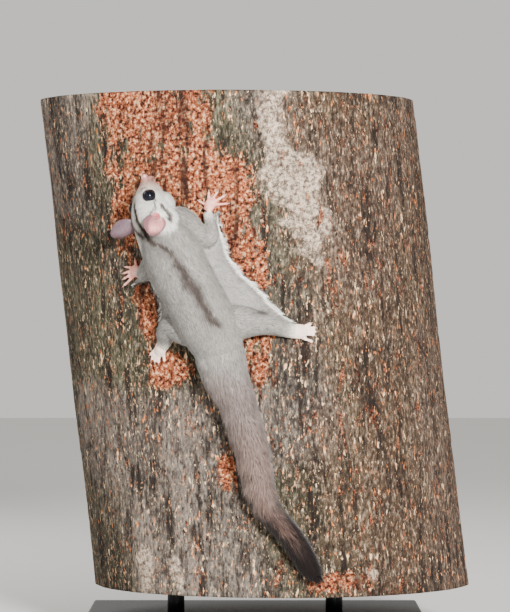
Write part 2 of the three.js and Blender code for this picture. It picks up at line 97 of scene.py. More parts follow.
# middle, way back, right, up and half sizes of a body at rows t
def station(rows, t):
    t = np.asarray(t, float)

    def middle(at):
        r = between(rows, at)
        return overBark(r[..., 0], r[..., 1], r[..., 2])

    r = between(rows, t)
    centre = middle(t)
    back = unit(middle(t + 0.05) - middle(t - 0.05))
    out = outwardAt(centre)
    up = unit(out - back * (out * back).sum(-1, keepdims=True))
    right = np.cross(up, back)
    a = np.radians(r[..., 5:6])
    return centre, back, right * np.cos(a) + up * np.sin(a), up * np.cos(a) - right * np.sin(a), r[..., 3], r[..., 4]


# a screen colour of 0 to 255 in linear light
def lin(r, g, b):
    c = np.array([r, g, b], float) / 255
    return np.where(c <= 0.04045, c / 12.92, ((c + 0.055) / 1.055) ** 2.4)


# smooth noise from summed sines of a place in millimetres, about -1 to 1
def softNoise(p, size, seed):
    g = np.random.default_rng(seed)
    total = 0
    for k in range(5):
        w = unit(g.normal(size=3)) * (2 * math.pi / size) * g.uniform(0.7, 1.5)
        total = total + np.sin(p @ w + g.uniform(0, 6.3))
    return total / 2.6


# a mesh from points in millimetres and arrays of triangles or quads
def meshObject(name, verts, faces, smoothShade=True):
    me = bpy.data.meshes.new(name)
    verts = np.asarray(verts, float)
    faces = [np.asarray(f, np.int32) for f in (faces if isinstance(faces, list) else [faces])]
    faces = [f for f in faces if len(f)]
    me.vertices.add(len(verts))
    me.vertices.foreach_set("co", (verts * mm).astype(np.float32).ravel())
    loops = np.concatenate([f.ravel() for f in faces])
    sizes = np.concatenate([np.full(len(f), f.shape[1], np.int32) for f in faces])
    me.loops.add(len(loops))
    me.loops.foreach_set("vertex_index", loops)
    me.polygons.add(len(sizes))
    me.polygons.foreach_set("loop_start", np.concatenate([[0], np.cumsum(sizes)[:-1]]).astype(np.int32))
    me.polygons.foreach_set("loop_total", sizes)
    me.polygons.foreach_set("use_smooth", np.full(len(sizes), smoothShade))
    me.update(calc_edges=True)
    me.validate()
    ob = bpy.data.objects.new(name, me)
    bpy.context.scene.collection.objects.link(ob)
    return ob


# a colour for each point, kept as an attribute
def colourVerts(ob, colours, name="coat"):
    me = ob.data
    attribute = me.color_attributes.new(name, "FLOAT_COLOR", "POINT")
    rgba = np.ones((len(me.vertices), 4), np.float32)
    rgba[:, :3] = np.clip(colours, 0, 1)
    attribute.data.foreach_set("color", rgba.ravel())
    me.color_attributes.active_color = attribute


# a piece: its slot for what it is made of is not used; the nodes it stands for are hidden, and it rides on the root
def placed(ob, slot, *nodes):
    if nodes:
        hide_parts(*nodes)
    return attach(ob, "root")


# quads between rings of points, closed round each ring
def ringFaces(rings, sides):
    i, j = np.meshgrid(np.arange(rings - 1), np.arange(sides), indexing="ij")
    a, b = i * sides + j, i * sides + (j + 1) % sides
    return np.stack([a, b, b + sides, a + sides], -1).reshape(-1, 4)


# rings of points, (rings, sides, 3), joined, with a fan of triangles to the middle of each end
def closedLoft(rings):
    n, sides, _ = rings.shape
    verts = np.concatenate([rings.reshape(-1, 3), rings[:1].mean(1), rings[-1:].mean(1)])
    quads = ringFaces(n, sides)
    j = np.arange(sides)
    k = (j + 1) % sides
    caps = [np.stack([k, j, np.full(sides, n * sides)], -1)]
    caps.append(np.stack([(n - 1) * sides + j, (n - 1) * sides + k, np.full(sides, n * sides + 1)], -1))
    return verts, quads, np.concatenate(caps)


# both faces of a grid, the second's points following the first's, and a wall round the rim
def sheetFaces(rows, columns):
    index = np.arange(rows * columns).reshape(rows, columns)
    quad = np.stack([index[:-1, :-1], index[1:, :-1], index[1:, 1:], index[:-1, 1:]], -1).reshape(-1, 4)
    rim = np.concatenate([index[0, :-1], index[:-1, -1], index[-1, :0:-1], index[:0:-1, 0]])
    after = np.roll(rim, -1)
    wall = np.stack([rim, after, after + index.size, rim + index.size], -1)
    return np.concatenate([quad, quad[:, ::-1] + index.size, wall])


# the glider's rows: x, z, lift, half width, half height, turn of the back towards -X
spine = np.array([
    [-98.6, 422.0, 12.0, 2.8, 2.6, 27], [-98.0, 419.6, 12.6, 4.8, 4.6, 27], [-96.6, 415.4, 13.8, 7.2, 7.8, 27],
    [-95.2, 410.4, 15.6, 10.4, 11.6, 27], [-94.3, 404.6, 17.8, 13.6, 14.8, 27], [-93.0, 398.0, 20.6, 17.4, 18.4, 27],
    [-91.2, 390.6, 23.0, 19.8, 20.6, 27], [-88.8, 382.2, 24.8, 21.4, 21.4, 24], [-84.8, 372.8, 25.6, 23.8, 21.2, 17],
    [-79.4, 362.4, 25.0, 26.0, 20.6, 9], [-73.4, 351.0, 24.0, 28.0, 20.6, 3], [-66.8, 337.0, 23.4, 28.0, 20.8, 0],
    [-58.2, 321.0, 23.2, 27.4, 21.2, 0], [-50.0, 305.0, 23.2, 27.8, 21.2, 0], [-42.4, 290.0, 22.4, 27.2, 20.4, 0],
    [-36.2, 277.0, 20.6, 25.0, 18.6, 0], [-31.6, 266.0, 18.8, 22.0, 16.6, 0], [-28.6, 258.0, 17.6, 17.0, 13.6, 0],
])
tail = np.array([
    [-42.4, 294.0, 17.2, 22.0, 15.0, 0], [-34.0, 271.0, 18.8, 23.6, 17.4, 0], [-27.4, 247.3, 18.0, 22.8, 16.8, 0],
    [-18.5, 226.0, 17.6, 19.8, 16.4, 0], [-11.1, 204.8, 17.2, 17.8, 16.0, 0], [-2.9, 176.4, 16.4, 16.4, 15.2, 0],
    [3.0, 148.0, 15.4, 14.6, 14.0, 0], [8.6, 131.5, 14.2, 12.8, 12.6, 0], [17.2, 118.2, 13.0, 11.6, 11.4, 0],
    [27.6, 105.5, 12.0, 11.0, 10.8, 0], [37.6, 91.2, 11.2, 11.0, 10.4, 0], [46.1, 77.1, 10.2, 10.0, 9.4, 0],
    [52.8, 67.2, 8.6, 5.4, 5.4, 0],
])
limbs = {
    "foreleg_right": [[-84, 388, 22, 11, 11, 0], [-67, 380, 16, 15, 14, 0], [-55, 371, 11.4, 13.5, 10.4, 0],
                      [-44, 366.5, 8.6, 10.5, 7.4, 0], [-39.5, 373, 7.6, 7.6, 6.6, 0], [-41, 381.5, 5.8, 5.4, 5, 0],
                      [-42.6, 389.4, 4.4, 4.4, 3.6, 0]],
    "foreleg_left": [[-82, 352, 20, 13, 12, 0], [-91, 345, 18, 11, 10, 0], [-97, 338, 14, 9, 8, 0],
                     [-100, 335, 10, 7, 6.5, 0], [-103.5, 336.5, 5.4, 5, 4.4, 0]],
    "hindleg_right": [[-34, 291, 18, 18, 15, 0], [-20, 291, 16, 17.5, 14, 0], [-6, 291.5, 13, 14.5, 12, 0],
                      [6, 290.5, 10.6, 11.4, 9.6, 0], [17, 288, 8, 9, 7.4, 0], [28, 285, 5.6, 7.6, 5, 0],
                      [35, 283.4, 4.2, 7, 3.8, 0]],
    "hindleg_left": [[-50, 286, 17, 17, 14, 0], [-62, 286, 16, 16, 13, 0], [-73, 287, 13.6, 12.6, 11.6, 0],
                     [-79, 282, 10.4, 10.4, 9.2, 0], [-81.4, 275.4, 7, 8, 6.4, 0], [-83.4, 270, 4.8, 6.2, 4.4, 0]],
}
paws = {
    "hand_right": {"palm": [[-42.4, 391, 4, 3.6, 3, 0], [-40.6, 396, 3.6, 4.8, 2.9, 0], [-38.6, 400, 3.2, 4.6, 2.5, 0],
                            [-37.4, 402.4, 2.8, 2.8, 1.8, 0]],
                   "digits": [[-43.8, 396.6, -50.4, 400.2], [-41.6, 400.4, -41.4, 408.4], [-38.6, 401.4, -33.6, 408.4],
                              [-36, 399.6, -26.6, 405.4], [-36, 396.6, -24.4, 397.8]],
                   "radius": 1.25, "claws": [0, 1, 2, 3, 4]},
    "hand_left": {"palm": [[-104.6, 337.2, 4.6, 4, 3.2, 0], [-107.4, 338, 3.8, 5.2, 3, 0], [-110, 337, 3.2, 5, 2.5, 0],
                           [-111.6, 336.6, 2.8, 3.2, 1.8, 0]],
                  "digits": [[-107.4, 341.4, -108.4, 348], [-110.2, 340.6, -117.2, 341.4], [-111.6, 338, -119, 335.6],
                             [-111.2, 335.2, -119.2, 330.6], [-109.6, 332.8, -119, 324.6]],
                   "radius": 1.25, "claws": [0, 1, 2, 3, 4]},
    "foot_right": {"palm": [[33, 284, 4.4, 6, 3.6, 0], [38, 283.2, 3.9, 6.8, 3.2, 0], [43, 283.2, 3.3, 6.2, 2.6, 0],
                            [46, 284, 2.9, 3.6, 1.9, 0]],
                   "digits": [[40, 278.4, 52, 273.8], [44.6, 281.4, 53.4, 279.8], [45.2, 283.2, 54.6, 282.8],
                              [45, 285.4, 54.2, 286.6], [43.4, 287.2, 50.2, 290.4]],
                   "radius": 1.5, "claws": [1, 2, 3, 4]},
    "foot_left": {"palm": [[-82.8, 272, 4.8, 5.2, 3.8, 0], [-84.8, 268, 4.2, 6, 3.4, 0],
                           [-86.6, 264.4, 3.5, 5.6, 2.7, 0],
                           [-87.6, 262, 3, 3.4, 1.9, 0]],
                  "digits": [[-82.6, 266.4, -81.6, 255.8], [-86.4, 263, -87, 254.6], [-88, 263.4, -90.4, 255.4],
                             [-89.4, 264.6, -93.4, 257.6], [-89.6, 267.2, -94.6, 262]],
                   "radius": 1.5, "claws": [1, 2, 3, 4]},
}
# root x, z, lift and free edge x, z, lift, from the fore paw back to the ankle
membranes = {
    "membrane_right": [
        [-37, 389, 4.6, -30.5, 394, 3.4], [-40, 382, 6, -32.4, 387, 3.6], [-44, 372, 11, -31.6, 378, 4.6],
        [-50, 361, 13, -27.6, 366.5, 5.4], [-50, 350, 14, -24.4, 354, 6], [-46, 339, 14, -19, 344.6, 6.2],
        [-40, 329, 13.5, -11.4, 335, 6], [-33, 318, 12, -1.6, 326.8, 5.2], [-24, 308, 11, 7.4, 318, 4.8],
        [-12, 299, 10, 14.4, 308, 4.4], [2, 293, 8, 21.4, 301, 3.8], [16, 289, 6, 29, 295.4, 3.2],
        [26, 287, 4.6, 35, 291.4, 2.8],
    ],
    "membrane_left": [
        [-104, 334.6, 5, -114, 323.4, 2.6], [-101, 334, 6.6, -107.4, 325.4, 3], [-94, 336, 10, -101.4, 327.6, 4],
        [-84, 334, 12, -95.6, 327.6, 5.2], [-80, 326, 13, -92.2, 322, 5.8], [-76, 318, 13, -89.4, 316.6, 6],
        [-73, 310, 13, -86.6, 310, 6], [-72, 300, 12, -85.6, 301.6, 5.4], [-74, 291, 10, -86.2, 291.6, 4.4],
        [-78, 282, 8, -87.4, 281.6, 3.6], [-81.6, 275, 6, -88, 274.6, 3],
    ],
}
eye = {"radius": 5.8, "row": 5.05, "lateral": 11.9, "dorsal": 9.6}
ears = {"ear_right": {"row": 7.2, "angle": 48, "along": [-0.12, -0.62, -0.78], "open": [0.1, -0.75, 0.6]},
        "ear_left": {"row": 6.7, "angle": -54, "along": [-0.88, 0.1, -0.46], "open": [-0.3, 0.8, 0.52]}}


# a place in the head, by its distances from a row's middle
def inHead(row, lateral, dorsal):
    c, _, right, up, _, _ = station(spine, np.array([row]))
    return (c + right * lateral + up * dorsal)[0]


# places on the head's ellipses, by degrees from the middle of the back
def onHead(row, angle, above):
    row = np.atleast_1d(np.asarray(row, float))
    a = np.radians(np.atleast_1d(angle))
    c, back, right, up, w, h = station(spine, row)
    return c + right * ((w + above) * np.sin(a))[:, None] + up * ((h + above) * np.cos(a))[:, None]


eyes = {"eye_right": inHead(eye["row"], eye["lateral"], eye["dorsal"]),
        "eye_left": inHead(eye["row"], -eye["lateral"], eye["dorsal"])}
eyeOut = {k: unit(v - inHead(eye["row"], 0, 0)) for k, v in eyes.items()}
# the middle of each ear's hollow, where it opens on the head
earRoots = [onHead(e["row"], e["angle"], -0.5)[0] + unit(np.array(e["open"], float)) * 1.5 for e in ears.values()]

# skin: lofts joined by a voxel remesh, then smoothed; the coat's depth lies above it
skinValues = {"voxel": 0.87, "bodyDepth": 1.9, "headDepth": 1.2, "noseDepth": 0.25, "ankleDepth": 0.5,
              "tailShare": 0.58, "membraneThick": 1.1, "membraneSag": 1.6, "smoothing": 26, "pawSmoothing": 2}
bodyKind, tailKind, limbKind, pawKind, thinKind = range(5)
samples = {k: [] for k in ("p", "way", "region", "part", "u", "v", "row")}
partNames = []


# what each point of the rough forms belongs to, for the skin to read from the nearest
def keepSamples(p, way, region, part, u, v, row):
    if part not in partNames:
        partNames.append(part)
    n = len(p)
    samples["p"].append(p)
    samples["way"].append(way)
    samples["region"].append(np.full(n, region))
    samples["part"].append(np.full(n, partNames.index(part)))
    for k, value in (("u", u), ("v", v), ("row", row)):
        samples[k].append(np.broadcast_to(value, (n,)).astype(float))


# an elliptical loft: centre + right * w * cos(a) + up * h * sin(a), less the coat's depth
def loftPiece(rows, region, part, sides, steps, depth):
    rows = np.asarray(rows, float)
    t = np.linspace(0, len(rows) - 1, steps + 1)
    c, back, right, up, w, h = station(rows, t)
    w = np.maximum(w - depth(t, w), 0.4 * w)
    h = np.maximum(h - depth(t, h), 0.4 * h)
    a = 2 * np.pi * (np.arange(sides) + 0.5) / sides
    rings = (c[:, None] + right[:, None] * (w[:, None] * np.cos(a))[..., None]
             + up[:, None] * (h[:, None] * np.sin(a))[..., None])
    tt, aa = np.meshgrid(t, a, indexing="ij")
    # the angle from the middle of the back, towards the animal's right, in turns
    turn = ((0.25 - aa / (2 * np.pi) + 0.5) % 1) - 0.5
    keepSamples(rings.reshape(-1, 3), np.repeat(back, sides, 0), region, part, turn.ravel(),
                tt.ravel() / t[-1], tt.ravel())
    return closedLoft(rings)


# rings of a radius for each point, square to the way along them
def tubePiece(points, radii, sides):
    points = np.asarray(points, float)
    way = unit(np.gradient(points, axis=0))
    across = unit(np.cross(way, np.array([0.31, 0.52, 0.8])))
    other = np.cross(way, across)
    a = fullTurn(sides)
    rings = points[:, None] + np.asarray(radii)[:, None, None] * (
        across[:, None] * np.cos(a)[:, None] + other[:, None] * np.sin(a)[:, None])
    return closedLoft(rings), way


# the coat's depth at rows t: over the body, over the tail, and over a limb with its last row
def bodyDepth(t, size):
    nose, head, body = skinValues["noseDepth"], skinValues["headDepth"], skinValues["bodyDepth"]
    return nose + (head - nose) * smooth(0.5, 5, t) + (body - head) * smooth(5, 9, t)


def tailDepth(t, size):
    f = smooth(0.8, 4, t)
    return skinValues["bodyDepth"] * (1 - f) + (1 - skinValues["tailShare"]) * size * f


def limbDepth(last):
    body, ankle = skinValues["bodyDepth"], skinValues["ankleDepth"]
    return lambda t, size: body + (ankle - body) * smooth(last * 0.3, last, t)


pieces = [loftPiece(spine, bodyKind, "body", 72, 170, bodyDepth), loftPiece(tail, tailKind, "tail", 40, 150, tailDepth)]
pieces += [loftPiece(rows, limbKind, name, 40, 44, limbDepth(len(rows) - 1)) for name, rows in limbs.items()]

# digits from root to tip, by the share of their length: knuckles, a slim shaft and a round pad
digit = {"steps": 15, "sides": 12, "liftAt": [-0.12, 0.25, 0.4, 0.62, 0.8, 1], "lift": [2.2, 2.6, 2.75, 2.2, 1.9, 1.6],
         "sizeAt": [-0.12, 0.25, 0.4, 0.62, 0.72, 0.86, 0.96, 1], "size": [1.15, 1.0, 1.08, 0.9, 0.88, 1.12, 1.0, 0.6]}


def digitPoints(x0, z0, x1, z1, f, lifts):
    f = np.asarray(f)
    return overBark(x0 + (x1 - x0) * f, z0 + (z1 - z0) * f, np.asarray(lifts) + 0.3)


for name, paw in paws.items():
    pieces.append(loftPiece(paw["palm"], pawKind, name, 24, 16, lambda t, size: 0.0))
    for ends in paw["digits"]:
        f = np.linspace(digit["liftAt"][0], 1, digit["steps"])
        lift = np.interp(f, digit["liftAt"], digit["lift"])
        size = np.interp(f, digit["sizeAt"], digit["size"]) * paw["radius"]
        piece, way = tubePiece(digitPoints(*ends, f, lift), size, digit["sides"])
        pieces.append(piece)
        keepSamples(piece[0][:-2], np.repeat(way, digit["sides"], 0), pawKind, name, 0.0, 1.0, 9.0)


# a membrane: both faces of a grid over the bark, at +-half its thickness along the bark's outward way
def membranePoints(rows, u, v):
    r = between(rows, v * (len(rows) - 1))
    sag = skinValues["membraneSag"] * np.sin(np.pi * u)
    return overBark(r[..., 0] + (r[..., 3] - r[..., 0]) * u, r[..., 1] + (r[..., 4] - r[..., 1]) * u,
                    r[..., 2] + (r[..., 5] - r[..., 2]) * u - sag)


# hair lies down the membrane and out to its edge
def membranePiece(name, rows):
    na, nb = 24, 120
    u, v = np.meshgrid(np.linspace(0, 0.97, na), np.linspace(0.01, 0.99, nb), indexing="ij")
    p = membranePoints(rows, u, v)
    down = unit(membranePoints(rows, u, np.minimum(v + 0.01, 1)) - membranePoints(rows, u, v - 0.01))
    across = unit(membranePoints(rows, u + 0.01, v) - membranePoints(rows, u - 0.01, v))
    way = unit(down * 0.8 + across * (0.25 + 0.6 * u[..., None]))
    out = outwardAt(p)
    half = skinValues["membraneThick"] / 2
    top, low = p + out * half, p - out * half
    for face, first in ((top, 0.0), (low, 0.5)):
        side = (first + 0.5 * u).ravel()
        keepSamples(face.reshape(-1, 3), way.reshape(-1, 3), thinKind, name, side, v.ravel(), first)
    verts = np.concatenate([top.reshape(-1, 3), low.reshape(-1, 3)])
    return verts, sheetFaces(na, nb), np.zeros((0, 3), int)


for name, rows in membranes.items():
    pieces.append(membranePiece(name, rows))


# whisker pads, cheeks, brows and chin as balls set into the head
def ballPiece(centre, radii, ways):
    a = fullTurn(20)
    b = np.linspace(0.02, np.pi - 0.02, 10)
    bb, aa = np.meshgrid(b, a, indexing="ij")
    local = np.stack([np.cos(bb), np.sin(bb) * np.cos(aa), np.sin(bb) * np.sin(aa)], -1) * np.asarray(radii)
    return closedLoft(centre + local @ np.asarray(ways))


# row, distance to the side and to the back, radius
headForms = {"pads": (1.55, 3.4, -2.6, 3.3), "cheeks": (5.6, 8.6, -7.2, 9.2), "brows": (4.3, 6.6, 9.4, 4.0),
             "chin": (1.9, 0.0, -5.6, 3.0), "nape": (7.5, 15.2, -1.5, 7.2)}
for row, lateral, dorsal, radius in headForms.values():
    for side in ((1, -1) if lateral else (1,)):
        c, back, right, up, _, _ = station(spine, np.array([row]))
        ways = [back[0], right[0], up[0]]
        pieces.append(ballPiece(inHead(row, side * lateral, dorsal), (radius * 1.25, radius, radius), ways))

allVerts, allFaces, start = [], [], 0
for v, quads, tris in pieces:
    allVerts.append(v)
    allFaces += [quads + start, tris + start]
    start += len(v)
rough = meshObject("roughSkin", np.concatenate(allVerts), allFaces)
remesh = rough.modifiers.new("remesh", "REMESH")
remesh.mode = "VOXEL"
remesh.voxel_size = skinValues["voxel"] * mm
fine = bpy.data.meshes.new_from_object(rough.evaluated_get(bpy.context.evaluated_depsgraph_get()))
bpy.data.objects.remove(rough)


# a mesh's points, normals and edges as arrays
def meshArrays(me):
    p = np.empty(len(me.vertices) * 3, np.float32)
    me.vertices.foreach_get("co", p)
    n = np.empty(len(me.vertices) * 3, np.float32)
    me.vertices.foreach_get("normal", n)
    e = np.empty(len(me.edges) * 2, np.int32)
    me.edges.foreach_get("vertices", e)
    return p.reshape(-1, 3).astype(float), n.reshape(-1, 3).astype(float), e.reshape(-1, 2)


# the skin's points into its mesh, and the normals that follow
def moved(points):
    fine.vertices.foreach_set("co", (points * mm).astype(np.float32).ravel())
    fine.update()
    return meshArrays(fine)[1]


def nearestSamples():
    return np.array([tree.find(p)[1] for p in skinPoints])


skinPoints, _, skinEdges = meshArrays(fine)
skinPoints = skinPoints / mm
count = len(skinPoints)
degree = np.maximum(np.bincount(skinEdges.ravel(), minlength=count), 1)


# the mean of the values at the points that each point shares an edge with
def neighbourMean(values):
    out = np.empty_like(values)
    for k in range(values.shape[1]):
        out[:, k] = (np.bincount(skinEdges[:, 0], values[skinEdges[:, 1], k], count)
                     + np.bincount(skinEdges[:, 1], values[skinEdges[:, 0], k], count)) / degree
    return out


for k in samples:
    samples[k] = np.concatenate(samples[k])
tree = kdtree.KDTree(len(samples["p"]))
for i, p in enumerate(samples["p"]):
    tree.insert(p, i)
tree.balance()
nearest = nearestSamples()
region = samples["region"][nearest]

# smoothing that keeps the volume: forward by 0.5, back by 0.52 of the neighbours' mean, less on paws
amount = np.where(region == pawKind, skinValues["pawSmoothing"] / skinValues["smoothing"], 1.0)
amount *= np.where((region == bodyKind) & (samples["row"][nearest] < 3), 0.35, 1.0)
soft = amount[:, None]
for _ in range(6):
    soft = neighbourMean(soft)
for _ in range(skinValues["smoothing"]):
    skinPoints = skinPoints + soft * 0.5 * (neighbourMean(skinPoints) - skinPoints)
    skinPoints = skinPoints - soft * 0.52 * (neighbourMean(skinPoints) - skinPoints)

# the mouth's groove and lips, from under the nose back to the corner
mouth = {"start": (0.75, 172), "corner": (3.6, 122), "deep": 0.8, "wide": 0.55, "lip": 0.35}
f = np.linspace(0, 1, 40)
mouthRow = mouth["start"][0] + (mouth["corner"][0] - mouth["start"][0]) * f
mouthAngle = mouth["start"][1] + (mouth["corner"][1] - mouth["start"][1]) * np.sqrt(f)
mouthPoints = np.concatenate([onHead(mouthRow, s * mouthAngle, -0.3) for s in (1, -1)])
skinNormals = moved(skinPoints)
nearHead = np.flatnonzero((region == bodyKind) & (samples["row"][nearest] < 4.6))
gapTo = np.min(np.linalg.norm(skinPoints[nearHead][:, None] - mouthPoints[None], axis=2), axis=1)
push = -mouth["deep"] * np.exp(-(gapTo / mouth["wide"]) ** 2) + mouth["lip"] * np.exp(-((gapTo - 1.5) / 0.8) ** 2)
mouthDark = np.zeros(count)
mouthDark[nearHead] = np.exp(-(gapTo / 0.6) ** 2)
skinPoints[nearHead] += skinNormals[nearHead] * push[:, None]
# the hollow of each ear, a round dent behind its opening that is bare inside
earHollow = {"radius": 3.4, "deep": 2.8, "bare": 4.8}
hollow = np.zeros(count)
for e in earRoots:
    dent = np.exp(-(np.linalg.norm(skinPoints - e, axis=1) / earHollow["radius"]) ** 2)
    skinPoints -= skinNormals * (earHollow["deep"] * dent)[:, None]
    hollow = np.maximum(hollow, dent)
# the socket: skin within the ball's reach draws back to leave it bare
socket = {"margin": 1.2, "draw": 0.9}
for name, centre in eyes.items():
    d = skinPoints - centre
    far = np.linalg.norm(d, axis=1)
    forward = (d @ eyeOut[name]) / np.maximum(far, 1e-6)
    inside = (far < eye["radius"] + socket["margin"]) & (forward > 0.15)
    skinPoints[inside] -= eyeOut[name] * ((eye["radius"] + socket["margin"] - far[inside]) * socket["draw"])[:, None]
skinNormals = moved(skinPoints)

nearest = nearestSamples()
region, part = samples["region"][nearest], samples["part"][nearest]
turn, along, row = samples["u"][nearest], samples["v"][nearest], samples["row"][nearest]
way = samples["way"][nearest]
for _ in range(12):
    way = unit(0.5 * way + 0.5 * neighbourMean(way))
facing = (skinNormals * outwardAt(skinPoints)).sum(1)
print("skin", count, "points")

# markings: the same colours for skin and coat, from the place on the body
tones = {"grey": lin(148, 144, 139), "darkGrey": lin(106, 100, 95), "stripe": lin(58, 45, 41),
         "cream": lin(238, 230, 214), "white": lin(246, 242, 232), "crown": lin(242, 237, 227),
         "muzzle": lin(192, 152, 138), "mask": lin(64, 50, 45), "eyeRing": lin(80, 66, 60), "pink": lin(232, 166, 160),
         "handPink": lin(236, 164, 148), "footPink": lin(252, 222, 206), "tailGrey": lin(138, 125, 120),
         "tailBrown": lin(136, 118, 110), "tailBlack": lin(36, 28, 26), "tailCentreLight": lin(118, 97, 89),
         "lips": lin(70, 40, 38), "earHollow": lin(176, 104, 104), "earHollowShade": lin(84, 44, 44)}
stripePath = np.array([[-94.3, 367.4], [-88, 364.7], [-81.4, 360.3], [-75.7, 356.7], [-68.8, 345.3], [-61, 330.5],
                       [-54.3, 323], [-48.4, 310], [-41.6, 299], [-36, 293]])
stripeWidth = np.array([1.5, 1.9, 2.4, 3.0, 4.6, 5.8, 6.4, 6.0, 4.8, 2.8])
# lines of the dark mask: rows and degrees from the middle of the back, half width, soft edge, strength
maskLines = {"brow": ([(5.6, 66), (6.3, 60), (6.65, 48), (6.95, 33)], 0.9, 0.7, 0.8),
             "nape": ([(6.9, 34), (7.3, 24), (7.7, 14)], 1.4, 0.7, 0.95),
             "ear": ([(6.1, 80), (6.62, 84), (7.2, 82), (7.6, 72)], 1.5, 0.8, 0.92)}
# how far back the pale face reaches: rows by degrees, further on the crown's sides than under the ear
paleDegrees, paleRows = [0, 30, 45, 78, 114, 138, 180], [7.4, 8.0, 8.4, 8.1, 7.4, 6.4, 6.2]


# distance to a line of points, with where along it the nearest place is
def toLine(q, line):
    best = np.full(len(q), 1e9)
    at = np.zeros(len(q))
    for k in range(len(line) - 1):
        a, b = np.asarray(line[k], float), np.asarray(line[k + 1], float)
        f = np.clip(((q - a) @ (b - a)) / ((b - a) @ (b - a)), 0, 1)
        d = np.linalg.norm(q - (a + f[:, None] * (b - a)), axis=1)
        closer = d < best
        best[closer] = d[closer]
        at[closer] = k + f[closer]
    return best, at


# a to b by the share f
def mix(a, b, f):
    return a + (b - a) * np.asarray(f)[..., None]


# how near the free edge a place on a membrane is, 0 at its root to 1
def edgeShare(turn):
    return np.where(turn >= 0.5, (turn - 0.5) * 2, turn * 2)


# colours by the part, the turn from the middle of the back, the rows, and how far a place faces outward
def markings(p, region, turn, along, row, facing):
    out = np.tile(tones["grey"], (len(p), 1))

    def paint(tone, amount):
        nonlocal out
        out = mix(out, tones[tone], amount)

    grain = softNoise(p, 9, 3) * 0.5 + softNoise(p, 3.5, 4) * 0.5
    angle = np.abs(turn) * 360
    flat = p[:, [0, 2]]
    body, isTail, leg, isPaw, thin = [region == k for k in (bodyKind, tailKind, limbKind, pawKind, thinKind)]
    face = np.where(body, 1.0, 0.0)
    # places on the head in millimetres, both sides alike
    q = np.stack([row * 7.5, angle / 57.3 * 18.0], 1)

    def headLine(points, wide, edge):
        d, _ = toLine(q, [(r * 7.5, a / 57.3 * 18.0) for r, a in points])
        return 1 - smooth(wide - edge, wide + edge, d + grain * 0.4)

    paint("cream", np.where(body, smooth(118, 140, angle) * smooth(2, 4, row), 0))
    limit = np.interp(angle, paleDegrees, paleRows) + 0.12 * grain
    pale = 1 - smooth(-0.35, 0.2, row - limit)
    paint("crown", face * pale * (0.9 - 0.5 * smooth(5.5, 8, row) * (1 - smooth(20, 50, angle))))
    paint("white", face * pale * (smooth(44, 66, angle) * smooth(4.6, 5.6, row)))
    paint("muzzle", face * (1 - smooth(1.6, 5.2, row)))
    paint("pink", face * (1 - smooth(0.8, 2.0, row)) * 0.9)
    paint("eyeRing", face * np.exp(-((row - 5.05) / 0.75) ** 2 - ((angle - 54) / 17) ** 2) * 0.5)
    paint("mask", face * headLine([(4.7, 0), (6.2, 0), (8.4, 0)], 1.9, 1.0) * smooth(4.3, 5.4, row))
    for points, wide, edge, strength in maskLines.values():
        paint("mask", face * strength * headLine(points, wide, edge))
    # the stripe down the back, by its place on the trunk's side
    d, at = toLine(flat, stripePath)
    wide = np.interp(at, np.arange(len(stripeWidth)), stripeWidth)
    onBack = smooth(0.1, 0.4, facing)
    stripe = (1 - smooth(wide * 0.15, wide * 1.3, d + grain * 1.1)) * onBack
    paint("stripe", np.where(body & (row > 7), stripe * 0.95, 0))
    paint("darkGrey", np.where(body & (row > 8), (1 - smooth(3, 11, d + grain)) * onBack * 0.35, 0))
    # limbs and membranes: grey above, cream below and along the free edge
    below = 1 - smooth(-0.35, 0.05, facing + 0.12 * grain)
    paint("cream", np.where(leg | thin, below, 0))
    paint("cream", np.where(leg, smooth(0.72, 1.0, along) * 0.8, 0))
    edge = np.where(thin, edgeShare(turn), 0)
    paint("darkGrey", np.where(thin, np.exp(-((edge - 0.78) / 0.1) ** 2) * 0.45 * (1 - below), 0))
    paint("white", np.where(thin, smooth(0.84, 0.93, edge), 0))
    knee = np.exp(-((flat[:, 0] - 3.8) / 7) ** 2 - ((flat[:, 1] - 300.5) / 2.6) ** 2) * smooth(0, 0.3, facing)
    paint("stripe", np.where(leg | thin, knee * 0.75, 0))
    # the tail: grey, then brown, then near black, with painted shade darkening its sides and painted light in a paler
    # middle line down its back
    z = flat[:, 1]
    tailColour = mix(tones["tailGrey"], tones["tailBrown"], 1 - smooth(165, 235, z + 6 * grain))
    tailColour = mix(tones["grey"], tailColour, 1 - smooth(232, 266, z + 4 * grain))
    end = 1 - smooth(112, 146, z + 5 * grain)
    # painted shade down the tail's sides
    edges = smooth(45, 80, angle) * (1 - smooth(132, 168, z))
    tailColour = mix(tailColour, tones["tailBlack"], np.clip(np.maximum(end, edges), 0, 1))
    # painted light: a paler line down the middle of the tail's back
    centre = np.exp(-(angle / 24) ** 2) * smooth(84, 116, z) * (1 - smooth(138, 160, z))
    tailColour = mix(tailColour, tones["tailCentreLight"], centre * 0.8)
    out[isTail] = tailColour[isTail]
    out = out * (1 + 0.09 * grain[:, None])
    pawTone = mix(tones["footPink"], tones["handPink"], smooth(315, 322, z))
    out[isPaw] = mix(pawTone, tones["white"], np.clip(0.15 + 0.25 * grain, 0, 1))[isPaw]
    return out


skinColour = markings(skinPoints, region, turn, along, row, facing)
skinColour = mix(skinColour, tones["pink"] * 0.8, np.where(region == pawKind, 0.15, 0.0))
noseSkin = (region == bodyKind) & (row < 1.2)
skinColour[noseSkin] = mix(skinColour[noseSkin], tones["pink"], 1 - smooth(0.5, 1.2, row[noseSkin]))
skinColour = mix(skinColour, tones["lips"], mouthDark * 0.8)
# the ear's hollow: bare pink skin, with painted shade darkening it most deep in the dent
skinColour = mix(skinColour, tones["earHollow"], smooth(0.03, 0.16, hollow))
skinColour = mix(skinColour, tones["earHollowShade"], smooth(0.35, 0.9, hollow))


